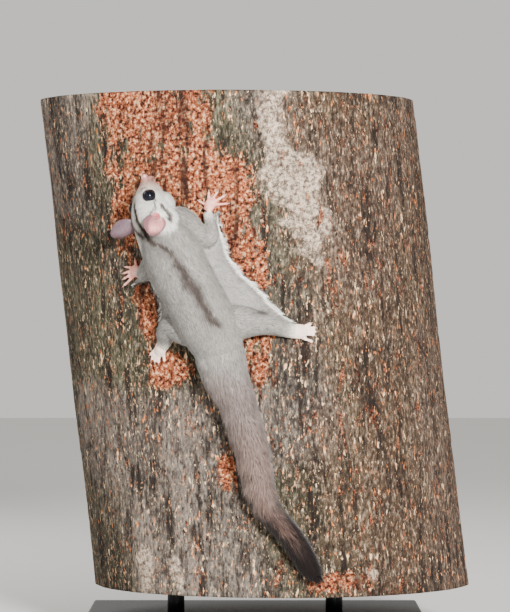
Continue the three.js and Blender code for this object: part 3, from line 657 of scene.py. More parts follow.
# materials: one shader each, with plain values on its own sockets
sockets = {"colour": "Base Color", "roughness": "Roughness", "specular": "Specular IOR Level", "sheen": "Sheen Weight",
           "sheenRoughness": "Sheen Roughness", "depth": "Subsurface Weight", "depthScale": "Subsurface Scale",
           "depthRadius": "Subsurface Radius", "coat": "Coat Weight", "coatRoughness": "Coat Roughness",
           "coatIor": "Coat IOR"}
fleshRadius = (0.004, 0.0015, 0.001)


def newMaterial(name, **values):
    material = bpy.data.materials.new(name)
    material.use_nodes = True
    shader = material.node_tree.nodes["Principled BSDF"]
    for key, value in values.items():
        shader.inputs[sockets[key]].default_value = value
    return material, shader


# links a socket to another's value, or sets a plain value on it
def feed(socket, value):
    if isinstance(value, bpy.types.NodeSocket):
        value.id_data.links.new(value, socket)
    else:
        socket.default_value = value


# a node of a kind beside a socket or shader, with its inputs fed by name or number
def newNode(beside, kind, inputs, **settings):
    node = beside.id_data.nodes.new("ShaderNode" + kind)
    for key, value in settings.items():
        setattr(node, key, value)
    for key, value in inputs.items():
        feed(node.inputs[key], value)
    return node


# the piece's own colours
def attributeColour(shader, name="coat"):
    return newNode(shader, "Attribute", {}, attribute_name=name).outputs["Color"]


# a place on the object, squeezed by a scale for each axis
def placeNode(shader, scale=None):
    place = newNode(shader, "TexCoord", {}).outputs["Object"]
    return newNode(shader, "Mapping", {"Vector": place, "Scale": scale}).outputs["Vector"] if scale else place


def noiseNode(place, scale, detail, roughness=0.6):
    inputs = {"Vector": place, "Scale": scale, "Detail": detail, "Roughness": roughness}
    return newNode(place, "TexNoise", inputs).outputs["Fac"]


def rangeNode(value, low, high, to=(0, 1)):
    inputs = {"Value": value, "From Min": low, "From Max": high, "To Min": to[0], "To Max": to[1]}
    return newNode(value, "MapRange", inputs).outputs["Result"]


def mixNode(a, b, factor):
    return newNode(factor, "Mix", {6: a, 7: b, 0: factor}, data_type="RGBA").outputs[2]


def mathNode(kind, a, b):
    return newNode(a, "Math", {0: a, 1: b}, operation=kind).outputs[0]


def bumpNode(shader, height, strength, distance):
    bump = newNode(shader, "Bump", {"Strength": strength, "Distance": distance, "Height": height})
    feed(shader.inputs["Normal"], bump.outputs["Normal"])


skinMaterial, shader = newMaterial("bareSkin", roughness=0.55, depth=0.12, depthRadius=fleshRadius, depthScale=0.4)
feed(shader.inputs["Base Color"], attributeColour(shader))
bumpNode(shader, noiseNode(placeNode(shader), 900, 4, 0.5), 0.35, 0.0004)

skin = bpy.data.objects.new("skin", fine)
fine.name = "skin"
bpy.context.scene.collection.objects.link(skin)
fine.polygons.foreach_set("use_smooth", np.ones(len(fine.polygons), bool))
colourVerts(skin, skinColour)
fine.materials.clear()
fine.materials.append(skinMaterial)
placed(skin, "fur", "head", "neck", "torso", "tail", *limbs, *paws, *membranes)

# coat: closed three-sided tufts rooted in the skin, lying back along each part's way
coatMaterial, shader = newMaterial("fur", roughness=0.78, sheen=0.25, sheenRoughness=0.5, specular=0.25)
feed(shader.inputs["Base Color"], attributeColour(shader))

fine.calc_loop_triangles()
tris = np.empty(len(fine.loop_triangles) * 3, np.int32)
fine.loop_triangles.foreach_get("vertices", tris)
tris = tris.reshape(-1, 3)
corner = skinPoints[tris]
area = 0.5 * np.linalg.norm(np.cross(corner[:, 1] - corner[:, 0], corner[:, 2] - corner[:, 0]), axis=1)
rng = np.random.default_rng(11)

# each piece's tufts: how many, on which parts and rows, and closer where the weight by rows is more
evenly = [(0, 1), (20, 1)]
coatValues = {
    "coatFace": {"count": 30000, "parts": ["body"], "rows": (0.0, 4.8), "thin": [(0, 3.2), (2, 2.2), (4.8, 1.4)]},
    "coatCrown": {"count": 45000, "parts": ["body"], "rows": (4.8, 8.2), "thin": [(4.8, 1.4), (8.2, 0.8)]},
    "coatNeck": {"count": 12000, "parts": ["body"], "rows": (8.2, 10.4), "thin": [(8, 1.2), (10.4, 1)]},
    "coatBack": {"count": 18800, "parts": ["body"], "rows": (10.4, 13.8), "thin": evenly},
    "coatRump": {"count": 16500, "parts": ["body"], "rows": (13.8, 20), "thin": evenly},
    "coatTail": {"count": 15000, "parts": ["tail"], "rows": (0, 4.6), "thin": [(0, 0.9), (4.6, 1)]},
    "coatTailEnd": {"count": 15000, "parts": ["tail"], "rows": (4.6, 20), "thin": evenly},
    "coatForelegs": {"count": 11500, "parts": ["foreleg_right", "foreleg_left", "hand_right", "hand_left"],
                     "rows": (0, 20), "thin": evenly},
    "coatHindlegs": {"count": 14500, "parts": ["hindleg_right", "hindleg_left", "foot_right", "foot_left"],
                     "rows": (0, 20), "thin": evenly},
    "coatMembranes": {"count": 11500, "parts": ["membrane_right", "membrane_left"], "rows": (0, 20), "thin": evenly},
}
straight = ("coatFace", "coatCrown")
# round the eyes and ears: bare for this far, hair turned away up to the reach and shorter
tuftValues = {"eyeBare": 0.1, "eyeReach": 5, "noseBare": 0.7, "earReach": 9, "sunk": 0.35, "thick": 0.3,
              "unevenTone": 0.19, "clumpTone": 0.12, "patch": 0.003}
# corners of a tuft: brightness (painted shade at the root, where the tufts shade each other, and painted light at the
# tip), place in its OFBake patch, and the faces between them
bentTuft = {"shade": [0.72, 0.72, 0.72, 0.94, 0.94, 0.94, 1.14],
            "spot": [[0, 0], [1, 0], [0.5, 0.3], [0.05, 0.5], [0.95, 0.5], [0.5, 0.7], [0.5, 1]],
            "faces": [[0, 2, 1], [0, 1, 4], [0, 4, 3], [1, 2, 5], [1, 5, 4], [2, 0, 3], [2, 3, 5], [3, 4, 6],
                      [4, 5, 6], [5, 3, 6]]}
straightTuft = {"shade": [0.84, 0.84, 0.84, 1.08], "spot": [[0, 0], [1, 0], [0.5, 0.4], [0.5, 1]],
                "faces": [[0, 2, 1], [0, 1, 3], [1, 2, 3], [2, 0, 3]]}


# length, width and height above the skin of a tuft at its root, in millimetres
def tuftSize(region, row, along, turn):
    n = len(row)
    length, width, height = np.full(n, 6.0), np.full(n, 0.66), np.full(n, 1.9)
    body, isTail, leg, paw, thin = [region == k for k in (bodyKind, tailKind, limbKind, pawKind, thinKind)]
    rows = [0, 1.2, 3, 5, 7, 9, 18]
    length = np.where(body, np.interp(row, rows, [0.7, 1.1, 1.9, 2.6, 4.2, 6.4, 6.5]), length)
    height = np.where(body, np.interp(row, rows, [0.15, 0.35, 0.7, 1.0, 1.4, 1.9, 1.95]), height)
    width = np.where(body, np.interp(row, [0, 3, 6, 8.2, 10], [0.14, 0.2, 0.3, 0.5, 0.66]), width)
    # the rump's hair reaches over the tail's root
    length = np.where(body & (row > 15), np.interp(row, [15, 17], [6.5, 12.5]), length)
    deep = tailDepth(row, np.interp(row, np.arange(len(tail)), (tail[:, 3] + tail[:, 4]) / 2))
    length = np.where(isTail, np.interp(row, [0, 1, 3.5, 7, 12], [8, 9, 15, 16, 12]), length)
    height = np.where(isTail, deep, height)
    width = np.where(isTail, 0.78, width)
    length = np.where(leg, np.interp(along, [0, 0.5, 0.85, 1], [5.5, 4.6, 3.2, 2.4]), length)
    height = np.where(leg, np.interp(along, [0, 0.5, 1], [1.8, 1.4, 0.5]), height)
    width = np.where(leg, np.interp(along, [0, 0.5, 1], [0.66, 0.55, 0.3]), width)
    rim = edgeShare(turn)
    length = np.where(thin, 3.6 + 1.6 * smooth(0.85, 0.95, rim), length)
    height = np.where(thin, 0.7, height)
    width = np.where(thin, 0.5 - 0.26 * smooth(0.82, 0.92, rim), width)
    length = np.where(paw, np.interp(row, [0, 3, 9], [2.3, 1.5, 0.9]), length)
    height = np.where(paw, np.interp(row, [0, 3, 9], [0.4, 0.3, 0.15]), height)
    width = np.where(paw, np.interp(row, [0, 3, 9], [0.26, 0.2, 0.15]), width)
    return length, width, height


# the chance of a root on each of the skin's triangles: its area, times the weight by rows
def rootWeight(values):
    wanted = np.isin(part, [partNames.index(n) for n in values["parts"]])
    if len(values["parts"]) == 1:
        wanted &= (row >= values["rows"][0]) & (row < values["rows"][1])
    first = tris[:, 0]
    weight = area * wanted[first] * np.interp(row[first], *zip(*values["thin"]))
    # membranes carry more at the free edge, paws only short sparse hair on their backs
    backs = (region[first] == pawKind) & (facing[first] > 0.3)
    weight *= np.where(region[first] == thinKind, 1 + 2.5 * smooth(0.84, 0.92, edgeShare(turn)[first]), 1.0)
    onPaw = np.where(backs, np.interp(row[first], [0, 3, 9], [4.5, 2.6, 1.2]), 0.0)
    weight *= np.where(region[first] == pawKind, onPaw, 1.0)
    return weight / weight.sum()


# OFBake: each tuft is a small patch at its root's place on the unwrapped part, the parts side by side
def bakeMap(values, one, spot):
    u, v = (turn[one] + 0.5) % 1.0, along[one]
    if len(values["parts"]) == 1:
        low, high = values["rows"]
        high = min(high, len(spine if values["parts"] == ["body"] else tail) - 1)
        v = (row[one] - low) / (high - low)
    index = np.zeros(len(one))
    for k, name in enumerate(values["parts"]):
        index[part[one] == partNames.index(name)] = k
    u = (index + 0.03 + 0.94 * np.clip(u, 0, 1)) / len(values["parts"])
    v = 0.01 + 0.97 * np.clip(v, 0, 1)
    jitter = rng.random((len(one), 2)) * 0.004
    return np.stack([u, v], 1)[:, None] * 0.99 + jitter[:, None] + np.array(spot)[None] * tuftValues["patch"]


def tufts(name, values):
    pick = rng.choice(len(tris), values["count"], p=rootWeight(values))
    r1, r2 = np.sqrt(rng.random(len(pick))), rng.random(len(pick))
    bary = np.stack([1 - r1, r1 * (1 - r2), r1 * r2], 1)

    def at(field):
        return (field[tris[pick]] * bary.reshape(len(pick), 3, *([1] * (field.ndim - 1)))).sum(1)

    p, n, d, f = at(skinPoints), unit(at(skinNormals)), unit(at(way)), at(facing)
    one = tris[pick, 0]
    length, width, height = tuftSize(region[one], row[one], along[one], turn[one])
    # nothing grows over the eyes, the nose pad or into the ears
    keep = np.ones(len(p), bool)
    for e in eyes.values():
        away = p - e
        far = np.linalg.norm(away, axis=1)
        keep &= far > eye["radius"] + tuftValues["eyeBare"]
        near = far < eye["radius"] + tuftValues["eyeReach"]
        flat = unit(away - n * (away * n).sum(1, keepdims=True))
        # round the eye the hair points away from it and is shorter
        turned = np.clip(1 - (far - eye["radius"]) / tuftValues["eyeReach"], 0, 1)[:, None] * near[:, None]
        d = unit(d * (1 - 0.75 * turned) + flat * 0.75 * turned)
        length = length * (1 - 0.45 * turned[:, 0])
        width = width * (1 - 0.35 * turned[:, 0])
    keep &= ~((region[one] == bodyKind) & (row[one] < tuftValues["noseBare"]))
    for e in earRoots:
        far = np.linalg.norm(p - e, axis=1)
        keep &= far > earHollow["bare"]
        length = length * (0.3 + 0.7 * smooth(earHollow["bare"], tuftValues["earReach"], far))
        apart = unit(p - e - n * ((p - e) * n).sum(1, keepdims=True))
        turned = (0.7 * (1 - smooth(5, 10, far)))[:, None]
        d = unit(d * (1 - turned) + apart * turned)
    p, n, d, length, width, height, one, f = [x[keep] for x in (p, n, d, length, width, height, one, f)]
    m = len(p)
    colour = markings(p, region[one], turn[one], along[one], row[one], f)
    vary = rng.normal(size=(m, 4))
    length = length * np.clip(1 + 0.18 * vary[:, 0], 0.6, 1.5)
    width = width * np.clip(1 + 0.2 * vary[:, 1], 0.6, 1.5)
    side = unit(np.cross(d, n))
    sway = 0.16 * vary[:, 2] + 0.22 * softNoise(p, 14, 21) + 0.12 * softNoise(p, 5, 22)
    if "tail" in values["parts"]:
        sway = sway + 0.1 * vary[:, 3]
    flat = unit(d - n * (d * n).sum(1, keepdims=True))
    flat = unit(flat + side * sway[:, None])
    side = unit(np.cross(flat, n))
    rise = np.clip(height / length * np.clip(1 + 0.14 * vary[:, 3], 0.7, 1.35), 0.02, 0.95)
    root = p - n * np.minimum(tuftValues["sunk"], width)[:, None]
    w, h = (width / 2)[:, None], (width * tuftValues["thick"])[:, None]
    over = np.cross(side, flat)
    form = straightTuft if name in straight else bentTuft
    if name in straight:
        tip = root + (flat * np.sqrt(1 - rise ** 2)[:, None] + n * rise[:, None]) * length[:, None]
        rings = [root - side * w, root + side * w, root + over * h, tip]
        own = [-side, side, over, flat]
    else:
        # rises steeply at first and lies flatter to its tip: both halves' heights add up to the coat's
        low, high = np.minimum(rise * 1.25, 0.97), rise * 0.75
        first = flat * np.sqrt(1 - low ** 2)[:, None] + n * low[:, None]
        second = flat * np.sqrt(1 - high ** 2)[:, None] + n * high[:, None]
        middle = root + first * (length * 0.5)[:, None]
        tip = middle + second * (length * 0.5)[:, None]
        rings = [root - side * w, root + side * w, root + over * h,
                 middle - side * w * 0.8, middle + side * w * 0.8, middle + over * h * 0.8, tip]
        own = [-side, side, over, -side, side, over, second]
    rings, own, faces, shade = np.stack(rings, 1), np.stack(own, 1), np.array(form["faces"]), np.array(form["shade"])
    # the faces' order is turned round if a first side face looks inwards
    a, b, c = [rings[0][faces[1][k]] for k in range(3)]
    if np.dot(np.cross(b - a, c - a), rings[0][:6].mean(0) - a) > 0:
        faces = faces[:, ::-1]
    everyFace = (faces[None] + rings.shape[1] * np.arange(m)[:, None, None]).reshape(-1, 3)
    ob = meshObject(name, rings.reshape(-1, 3), everyFace)
    # painted shade at the root and painted light to the tip, and each tuft a little different
    tone = 1 + tuftValues["unevenTone"] * rng.normal(size=m) + tuftValues["clumpTone"] * softNoise(p, 2.6, 61)
    rgb = colour[:, None] * shade[None, :, None] * np.clip(tone, 0.5, 1.55)[:, None, None]
    colourVerts(ob, rgb.reshape(-1, 3))
    # softer shading: each point's normal leans to the skin's
    normals = unit(own * 0.25 + n[:, None])
    ob.data.normals_split_custom_set_from_vertices(normals.reshape(-1, 3).astype(np.float32))
    uv = bakeMap(values, one, form["spot"])
    layer = ob.data.uv_layers.new(name="OFBake")
    layer.data.foreach_set("uv", uv.reshape(-1, 2)[everyFace.ravel()].astype(np.float32).ravel())
    ob.data.materials.append(coatMaterial)
    placed(ob, "fur")
    return m


total = sum(tufts(name, values) for name, values in coatValues.items())
print("coat", total, "tufts")

# eyes and lids: the outward, forward and upward ways of an eye
def axesAt(name):
    _, back, _, _, _, _ = station(spine, np.array([eye["row"]]))
    out = eyeOut[name]
    fore = unit(-back[0] - out * (-back[0] @ out))
    return out, fore, np.cross(out, fore)


# a closed mesh whose faces are turned round if its volume, summed from the middle, comes out negative
def solidObject(name, verts, faceSets):
    p = verts - verts.mean(0)
    volume = 0
    for faces in faceSets:
        a, b, c, d = [p[faces[:, k]] for k in (0, 1, 2, -1)]
        volume += (np.cross(a, b) * c).sum()
        if faces.shape[1] == 4:
            volume += (np.cross(a, c) * d).sum()
    return meshObject(name, verts, [f[:, ::-1] for f in faceSets] if volume < 0 else faceSets)


eyeMaterial, shader = newMaterial("eyeBall", roughness=0.3, specular=0.1, coat=1.0, coatRoughness=0.02, coatIor=1.38)
feed(shader.inputs["Base Color"], attributeColour(shader))
lidMaterial, _ = newMaterial("lid", colour=(*lin(40, 31, 30), 1), roughness=0.6, specular=0.3)
lidValues = {"long": 5.65, "high": 5.05, "reach": 2.3, "cornerDrop": 0.9, "thick": 0.8, "proud": 0.5}
for name, centre in eyes.items():
    out, fore, high = axesAt(name)
    # ball: its radius grows by 0.3 mm over the cornea
    theta = np.linspace(0.03, np.pi - 0.03, 28)
    phi = fullTurn(40)
    radius = eye["radius"] - 0.15 + 0.3 * np.exp(-(theta / 0.7) ** 2)
    rings = centre + (radius * np.cos(theta))[:, None, None] * out + (radius * np.sin(theta))[:, None, None] * (
        fore * np.cos(phi)[:, None] + high * np.sin(phi)[:, None])
    verts, quads, caps = closedLoft(rings)
    ball = solidObject(name.replace("eye", "ball"), verts, [quads, caps])
    tilt = np.arccos(np.clip(((verts - centre) @ out) / np.linalg.norm(verts - centre, axis=1), -1, 1))
    colourVerts(ball, mix(np.array([0.002, 0.003, 0.008]), np.array([0.010, 0.012, 0.022]), smooth(0.7, 1.0, tilt)))
    ball.data.materials.append(eyeMaterial)
    placed(ball, "eye", name)
    # lid: a ring, longer than high, thinner at its two corners
    phi = fullTurn(64)
    psi = fullTurn(10)
    atCorner = np.cos(phi) ** 2
    middle = centre + out * (lidValues["reach"] - lidValues["cornerDrop"] * atCorner)[:, None] + (
        fore * (np.cos(phi) * lidValues["long"])[:, None] + high * (np.sin(phi) * lidValues["high"])[:, None])
    radial = unit(middle - centre - out * ((middle - centre) @ out)[:, None])
    thick = lidValues["thick"] * (1 - 0.35 * atCorner ** 4)
    ring = middle[:, None] + thick[:, None, None] * (radial[:, None] * np.cos(psi)[:, None]
                                                     + out * (lidValues["proud"] * np.sin(psi))[:, None])
    faces = ringFaces(65, 10) % 640  # the last ring is the first again
    lid = meshObject(name.replace("eye", "lid"), ring.reshape(-1, 3), faces[:, ::-1])
    lid.data.materials.append(lidMaterial)
    placed(lid, "skin")

# nose: a pad with two nostrils and the groove below them
noseMaterial, shader = newMaterial("nose", roughness=0.4, depth=0.2, depthScale=0.4, depthRadius=fleshRadius)
feed(shader.inputs["Base Color"], attributeColour(shader))
cells = newNode(shader, "TexVoronoi", {"Vector": placeNode(shader), "Scale": 2600})
bumpNode(shader, cells.outputs["Distance"], 0.4, 0.0002)
nose = {"row": 0.3, "dorsal": 0.9, "fore": 2.7, "wide": 3.6, "high": 2.5, "nostril": (1.75, 0.1), "deep": 1.3}
_, back, right, up, _, _ = station(spine, np.array([nose["row"]]))
back, right, up = back[0], right[0], up[0]
centre = inHead(nose["row"], 0, nose["dorsal"])
theta = np.linspace(0.02, np.pi - 0.02, 60)
phi = fullTurn(80)
tt, pp = np.meshgrid(theta, phi, indexing="ij")
local = np.stack([np.cos(tt), np.sin(tt) * np.cos(pp), np.sin(tt) * np.sin(pp)], -1)
local = np.sign(local) * np.abs(local) ** 0.85
local = local * np.array([nose["fore"], nose["wide"], nose["high"]])
front = smooth(0.2, 1.2, local[..., 0])
side, above = np.abs(local[..., 1]) - nose["nostril"][0], local[..., 2] - nose["nostril"][1]
hole = np.exp(-((side + 0.35 * above) / 0.55) ** 2 - (above / 0.42) ** 2) * front
groove = np.exp(-(local[..., 1] / 0.28) ** 2) * (1 - smooth(-0.6, 0.4, local[..., 2])) * front
local[..., 0] -= nose["deep"] * hole + 0.45 * groove
verts, quads, caps = closedLoft(centre - back * local[..., 0:1] + right * local[..., 1:2] + up * local[..., 2:3])
pad = solidObject("nosePad", verts, [quads, caps])
# painted shade: dark in the nostrils and along the groove below them
shade = np.concatenate([np.clip(hole + 0.4 * groove, 0, 1).ravel(), [0, 0]])
colourVerts(pad, mix(lin(228, 176, 172), lin(88, 40, 40), shade * 0.9))
pad.data.materials.append(noseMaterial)
placed(pad, "skin")

# ears: thin cupped sheets on the head's side, pink within and lilac grey behind
earSize = {"length": 24, "width": 20, "cup": 5.5, "thick": 0.5, "sunk": 1.5, "fold": 0.16}
earMaterial, shader = newMaterial("earSkin", roughness=0.36, depth=0.2, depthScale=0.5, depthRadius=fleshRadius)
feed(shader.inputs["Base Color"], attributeColour(shader))
bumpNode(shader, noiseNode(placeNode(shader), 700, 5, 0.5), 0.35, 0.0003)
earTones = {"pink": lin(212, 128, 128), "pale": lin(248, 204, 198), "deep": lin(142, 84, 86), "rim": lin(104, 80, 86),
            "grey": lin(128, 108, 114), "darkGrey": lin(92, 76, 82)}
for name, values in ears.items():
    root = onHead(values["row"], values["angle"], -earSize["sunk"])[0]
    earWay = unit(np.array(values["along"], float))
    openWay = np.array(values["open"], float)
    openWay = unit(openWay - earWay * (openWay @ earWay))
    across = np.cross(earWay, openWay)

    # u across and v along the ear: the rim's outline, and a cup that rises with the square of u
    def earPlace(u, v, root=root, earWay=earWay, openWay=openWay, across=across):
        side = 2 * u - 1
        outline = np.sin(np.pi * (0.13 + 0.83 * v)) ** 0.62
        cup = earSize["cup"] * (0.35 + 0.65 * np.sin(np.pi * (0.1 + 0.75 * v)))
        rise = cup * (side ** 2 * outline - 0.5) + 2.4 * v ** 2
        # faint folds run across the lower half
        folds = np.exp(-((v - 0.45) / 0.22) ** 2) * (1 - side ** 2)
        rise = rise + earSize["fold"] * np.sin(v * 30 + side ** 2 * 3) * folds
        return (root + earWay * (earSize["length"] * v - 1)[..., None]
                + across * (earSize["width"] / 2 * outline * side)[..., None] + openWay * rise[..., None])

    nu, nv = 44, 52
    u, v = np.meshgrid(np.linspace(0, 1, nu), np.linspace(0, 1, nv), indexing="ij")
    p = earPlace(u, v)
    normal = unit(np.cross(earPlace(u + 0.01, v) - earPlace(u - 0.01, v),
                           earPlace(u, v + 0.01) - earPlace(u, v - 0.01)))
    rim = np.clip(np.minimum(np.minimum(u, 1 - u) * 9, (1 - v) * 12), 0.12, 1) ** 0.5
    half = earSize["thick"] * (1.5 - 0.7 * v) * rim / 2
    front, rear = p + normal * half[..., None], p - normal * half[..., None]
    verts = np.concatenate([front.reshape(-1, 3), rear.reshape(-1, 3)])
    ob = solidObject(name.replace("ear", "earShell"), verts, [sheetFaces(nu, nv)])
    # the side that looks along the opening is pink, with painted shade deep in the cup near its root, darker at its rim
    # and darkest near the crown
    inner = (normal * openWay).sum(-1).mean() > 0
    veins = 0.5 + 0.2 * softNoise(p.reshape(-1, 3), 2.4, 31)
    side, height = 2 * u.ravel() - 1, v.ravel()
    sideways = np.abs(side)
    pinkSide = mix(earTones["pink"], earTones["pale"], veins)
    # painted shade: the pink darkens down the middle of the cup towards its root
    pinkSide = mix(pinkSide, earTones["deep"], np.exp(-(sideways / 0.7) ** 2) * (1 - smooth(0.1, 0.6, height)) * 0.8)
    rimGrey = np.maximum(smooth(0.55, 0.98, height), smooth(0.6, 1.0, sideways) * 0.75)
    inwards = np.sign(across @ (sum(earRoots) / len(earRoots) - root))
    rimGrey = np.maximum(rimGrey, smooth(0.1, 0.75, side * inwards))
    pinkSide = mix(pinkSide, earTones["rim"], rimGrey * 0.88)
    greySide = mix(earTones["grey"], earTones["darkGrey"], veins * 0.5 + 0.5 * rimGrey)
    pair = (pinkSide, greySide) if inner else (greySide, pinkSide)
    colourVerts(ob, np.concatenate(pair))
    ob.data.materials.append(earMaterial)
    placed(ob, "skin", name)

# claws: curved tapered hooks beyond the digits' tips
clawMaterial, shader = newMaterial("claw", roughness=0.3)
feed(shader.inputs["Base Color"], attributeColour(shader))
claw = {"length": 3.6, "radius": 0.62, "steps": 13, "sides": 8, "root": lin(196, 160, 146), "tip": lin(62, 48, 42)}
verts, faceSets, clawColours, start = [], [], [], 0
fromRoot = np.linspace(0, 3, claw["steps"])
for name, paw in paws.items():
    for k in paw["claws"]:
        x0, z0, x1, z1 = paw["digits"][k]
        reach = claw["length"] / math.hypot(x1 - x0, z1 - z0)
        f = np.interp(fromRoot, range(4), [0.9, 1 + reach * 0.35, 1 + reach * 0.8, 1 + reach])
        lift = np.interp(fromRoot, range(4), [2.2, 2.3, 1.25, 0.35])
        lift = np.convolve(np.pad(lift, 1, "edge"), [0.25, 0.5, 0.25], "valid")
        size = np.interp(fromRoot, range(4), [1, 0.9, 0.55, 0.12]) * claw["radius"]
        (v, q, c), _ = tubePiece(digitPoints(x0, z0, x1, z1, f, lift), size, claw["sides"])
        verts.append(v)
        faceSets += [q + start, c + start]
        shade = np.concatenate([np.repeat(np.linspace(0, 1, claw["steps"]), claw["sides"]), [0, 1]])
        clawColours.append(mix(claw["root"], claw["tip"], smooth(0.15, 0.6, shade)))
        start += len(v)
claws = solidObject("claws", np.concatenate(verts), faceSets)
colourVerts(claws, np.concatenate(clawColours))
claws.data.materials.append(clawMaterial)
placed(claws, "skin")

# whiskers: thin tapered hairs from the lips' sides, the brows and the cheeks
whiskerMaterial, _ = newMaterial("whisker", colour=(*lin(38, 31, 29), 1), roughness=0.4)
# roots spread evenly over the pads, by rows and degrees; others give row, degrees, length and forward lean
whisker = {"radius": 0.13, "lengths": (17, 34), "rows": (0.9, 2.5), "angles": (72, 122),
           "others": [(4.0, 38, 20, 0.5), (4.1, 44, 16, 0.3), (6.4, 104, 18, -0.5), (6.5, 110, 14, -0.6)]}
verts, faceSets, roots, start = [], [], [], 0
whiskerRng = np.random.default_rng(5)
(rowA, rowB), (angleA, angleB), (shortest, longest) = whisker["rows"], whisker["angles"], whisker["lengths"]
for side in (1, -1):
    for i in range(4):
        for j in range(5):
            f, g = (i + 0.5 * (j % 2)) / 3.5, j / 4
            roots.append((rowA + (rowB - rowA) * f, side * (angleA + (angleB - angleA) * g),
                          shortest + (longest - shortest) * f, 0.9 - 0.9 * f))
    roots += [(at, side * degrees, length, fore) for at, degrees, length, fore in whisker["others"]]
for at, degrees, length, fore in roots:
    a = math.radians(degrees)
    _, back, right, up, _, _ = station(spine, np.array([at]))
    root = onHead(at, degrees, -0.8)[0]
    n = unit(right[0] * math.sin(a) + up[0] * math.cos(a))
    heading = unit(n * 0.8 - back[0] * (fore + 0.1 * whiskerRng.normal()) + 0.12 * whiskerRng.normal(size=3))
    t = np.linspace(0, 1, 11)[:, None]
    droop = unit(back[0] * 0.6 + outwardAt(root[None])[0] * 0.5)
    points = root + heading * length * t + droop * length * 0.16 * t ** 2
    # none reaches into the bark
    fromAxis = np.hypot(points[:, 0] - trunkCentreX(points[:, 2]), points[:, 1])
    points += outwardAt(points) * np.maximum(trunk["radius"] + 1.5 - fromAxis, 0)[:, None]
    (v, q, c), _ = tubePiece(points, whisker["radius"] * (1 - 0.85 * t[:, 0]), 5)
    verts.append(v)
    faceSets += [q + start, c + start]
    start += len(v)
whiskers = solidObject("whiskers", np.concatenate(verts), faceSets)
whiskers.data.materials.append(whiskerMaterial)
placed(whiskers, "fur")
print("face and claws")

# the trunk: fissured bark, worn to orange inner bark round the glider, with sawn ends
bark = {"columns": 380, "rows": 212, "depth": 2.4, "cracks": 0.7, "fine": 0.45, "worn": 0.8,
        "olive": lin(86, 82, 65), "grey": lin(116, 107, 99), "brown": lin(94, 74, 60), "dark": lin(54, 46, 42)}
# patches by the place round the trunk from the glider's side, height, half width and half height
wornPlaces = [(-92, 480, 58, 80), (-70, 420, 52, 50), (-24, 400, 30, 50), (-120, 410, 22, 60), (-8, 352, 22, 40),
              (-102, 300, 14, 48), (-84, 250, 24, 18), (0, 262, 18, 30), (-26, 160, 10, 18), (74, 56, 34, 14),
              (-140, 470, 14, 60)]
lichenPlaces = [(18, 470, 26, 60), (32, 420, 32, 40), (50, 380, 22, 40), (-112, 66, 12, 24), (-76, 60, 8, 18),
                (66, 54, 14, 10), (110, 64, 8, 8)]


# smooth random heights on across x up cells, closed round the trunk
def barkNoise(u, v, across, up, seed):
    g = np.random.default_rng(seed).random((across, up + 3))
    x, y = u * across, np.clip(v, 0, 1.2) * up
    i, j = np.floor(x).astype(int), np.floor(y).astype(int)
    f, h = x - i, y - j
    f, h = f * f * (3 - 2 * f), h * h * (3 - 2 * h)
    i0, i1, j0, j1 = i % across, (i + 1) % across, j % (up + 3), (j + 1) % (up + 3)
    return (g[i0, j0] * (1 - f) + g[i1, j0] * f) * (1 - h) + (g[i0, j1] * (1 - f) + g[i1, j1] * f) * h


# columns lie closer together on the side that the glider is on
share = np.arange(bark["columns"]) / bark["columns"]
angles = 2 * np.pi * share + 0.42 * np.sin(2 * np.pi * share) - np.pi / 2 - np.pi
heights = np.linspace(trunk["bottom"], trunk["top"], bark["rows"])
zz, aa = np.meshgrid(heights, angles, indexing="ij")
u, v = (aa / (2 * np.pi)) % 1, (zz - trunk["bottom"]) / (trunk["top"] - trunk["bottom"])
wavy = u + 0.006 * (barkNoise(u, v, 9, 5, 41) - 0.5) + 0.003 * (barkNoise(u, v, 40, 24, 42) - 0.5)
ridge = 1 - np.abs(2 * barkNoise(wavy, v, 64, 9, 43) - 1)
crack = smooth(0.8, 1.0, ridge)
finer = smooth(0.72, 1.0, 1 - np.abs(2 * barkNoise(wavy, v, 170, 34, 44) - 1))
crumb = 0.6 * barkNoise(u, v, 330, 130, 45) + 0.4 * barkNoise(u, v, 150, 62, 46)
# the wide relief, by the same sums as the solid trunk's
across = aa % (2 * np.pi)
wide = 0.5 - 0.32 * np.sin(13 * across + 1.5 * np.sin(zz / 60)) * np.sin(7 * across - zz / 47 + 1)
wide = wide - 0.18 * np.sin(5 * across + 2 * np.sin(zz / 90 + 2) + 0.7)
arc = trunk["radius"] * (across - 1.5 * np.pi)
hold = np.full(arc.shape, 1e9)
for paw in paws.values():
    x, z = paw["palm"][2][:2]
    hold = np.minimum(hold, np.hypot(arc - (x - trunkCentreX(z)), zz - z))
near = np.clip((hold - 22) / 20, 0, 1)  # no relief under the paws
blotch = 0.55 * barkNoise(u, v, 24, 12, 47) + 0.45 * barkNoise(u, v, 70, 38, 48)


# 1 in the middle of each patch to 0 past its uneven edge
def patches(places, low, high, uneven):
    cover = np.zeros(arc.shape)
    for x, z, half, tall in places:
        reach = np.hypot((arc - (x - trunkCentreX(z))) / half, (zz - z) / tall)
        cover = np.maximum(cover, 1 - smooth(low, high, reach + uneven * (blotch - 0.5)))
    return cover


worn = patches(wornPlaces, 0.4, 1.35, 1.1)
lichen = patches(lichenPlaces, 0.5, 1.3, 1.3)
depth = near * bark["depth"] * wide
depth = depth + (0.25 + 0.75 * near) * (bark["cracks"] * crack * (1 - worn) + bark["fine"] * finer)
depth = depth + (0.3 + 0.7 * near) * worn * bark["worn"] * (0.3 + 1.4 * crumb) + 0.35 * crumb
r = trunk["radius"] - np.clip(depth, 0, 6)
rings = np.stack([trunkCentreX(zz) + r * np.cos(aa), r * np.sin(aa), zz], -1)
# sawn ends: rings of points stepping in to the middle
steps = np.array([0.985, 0.9, 0.75, 0.6, 0.45, 0.3, 0.15, 0.02])


# copies of the last ring drawn in towards its middle
def endRings(ring):
    middle = ring.mean(0)
    return middle + (ring - middle) * steps[:, None, None]


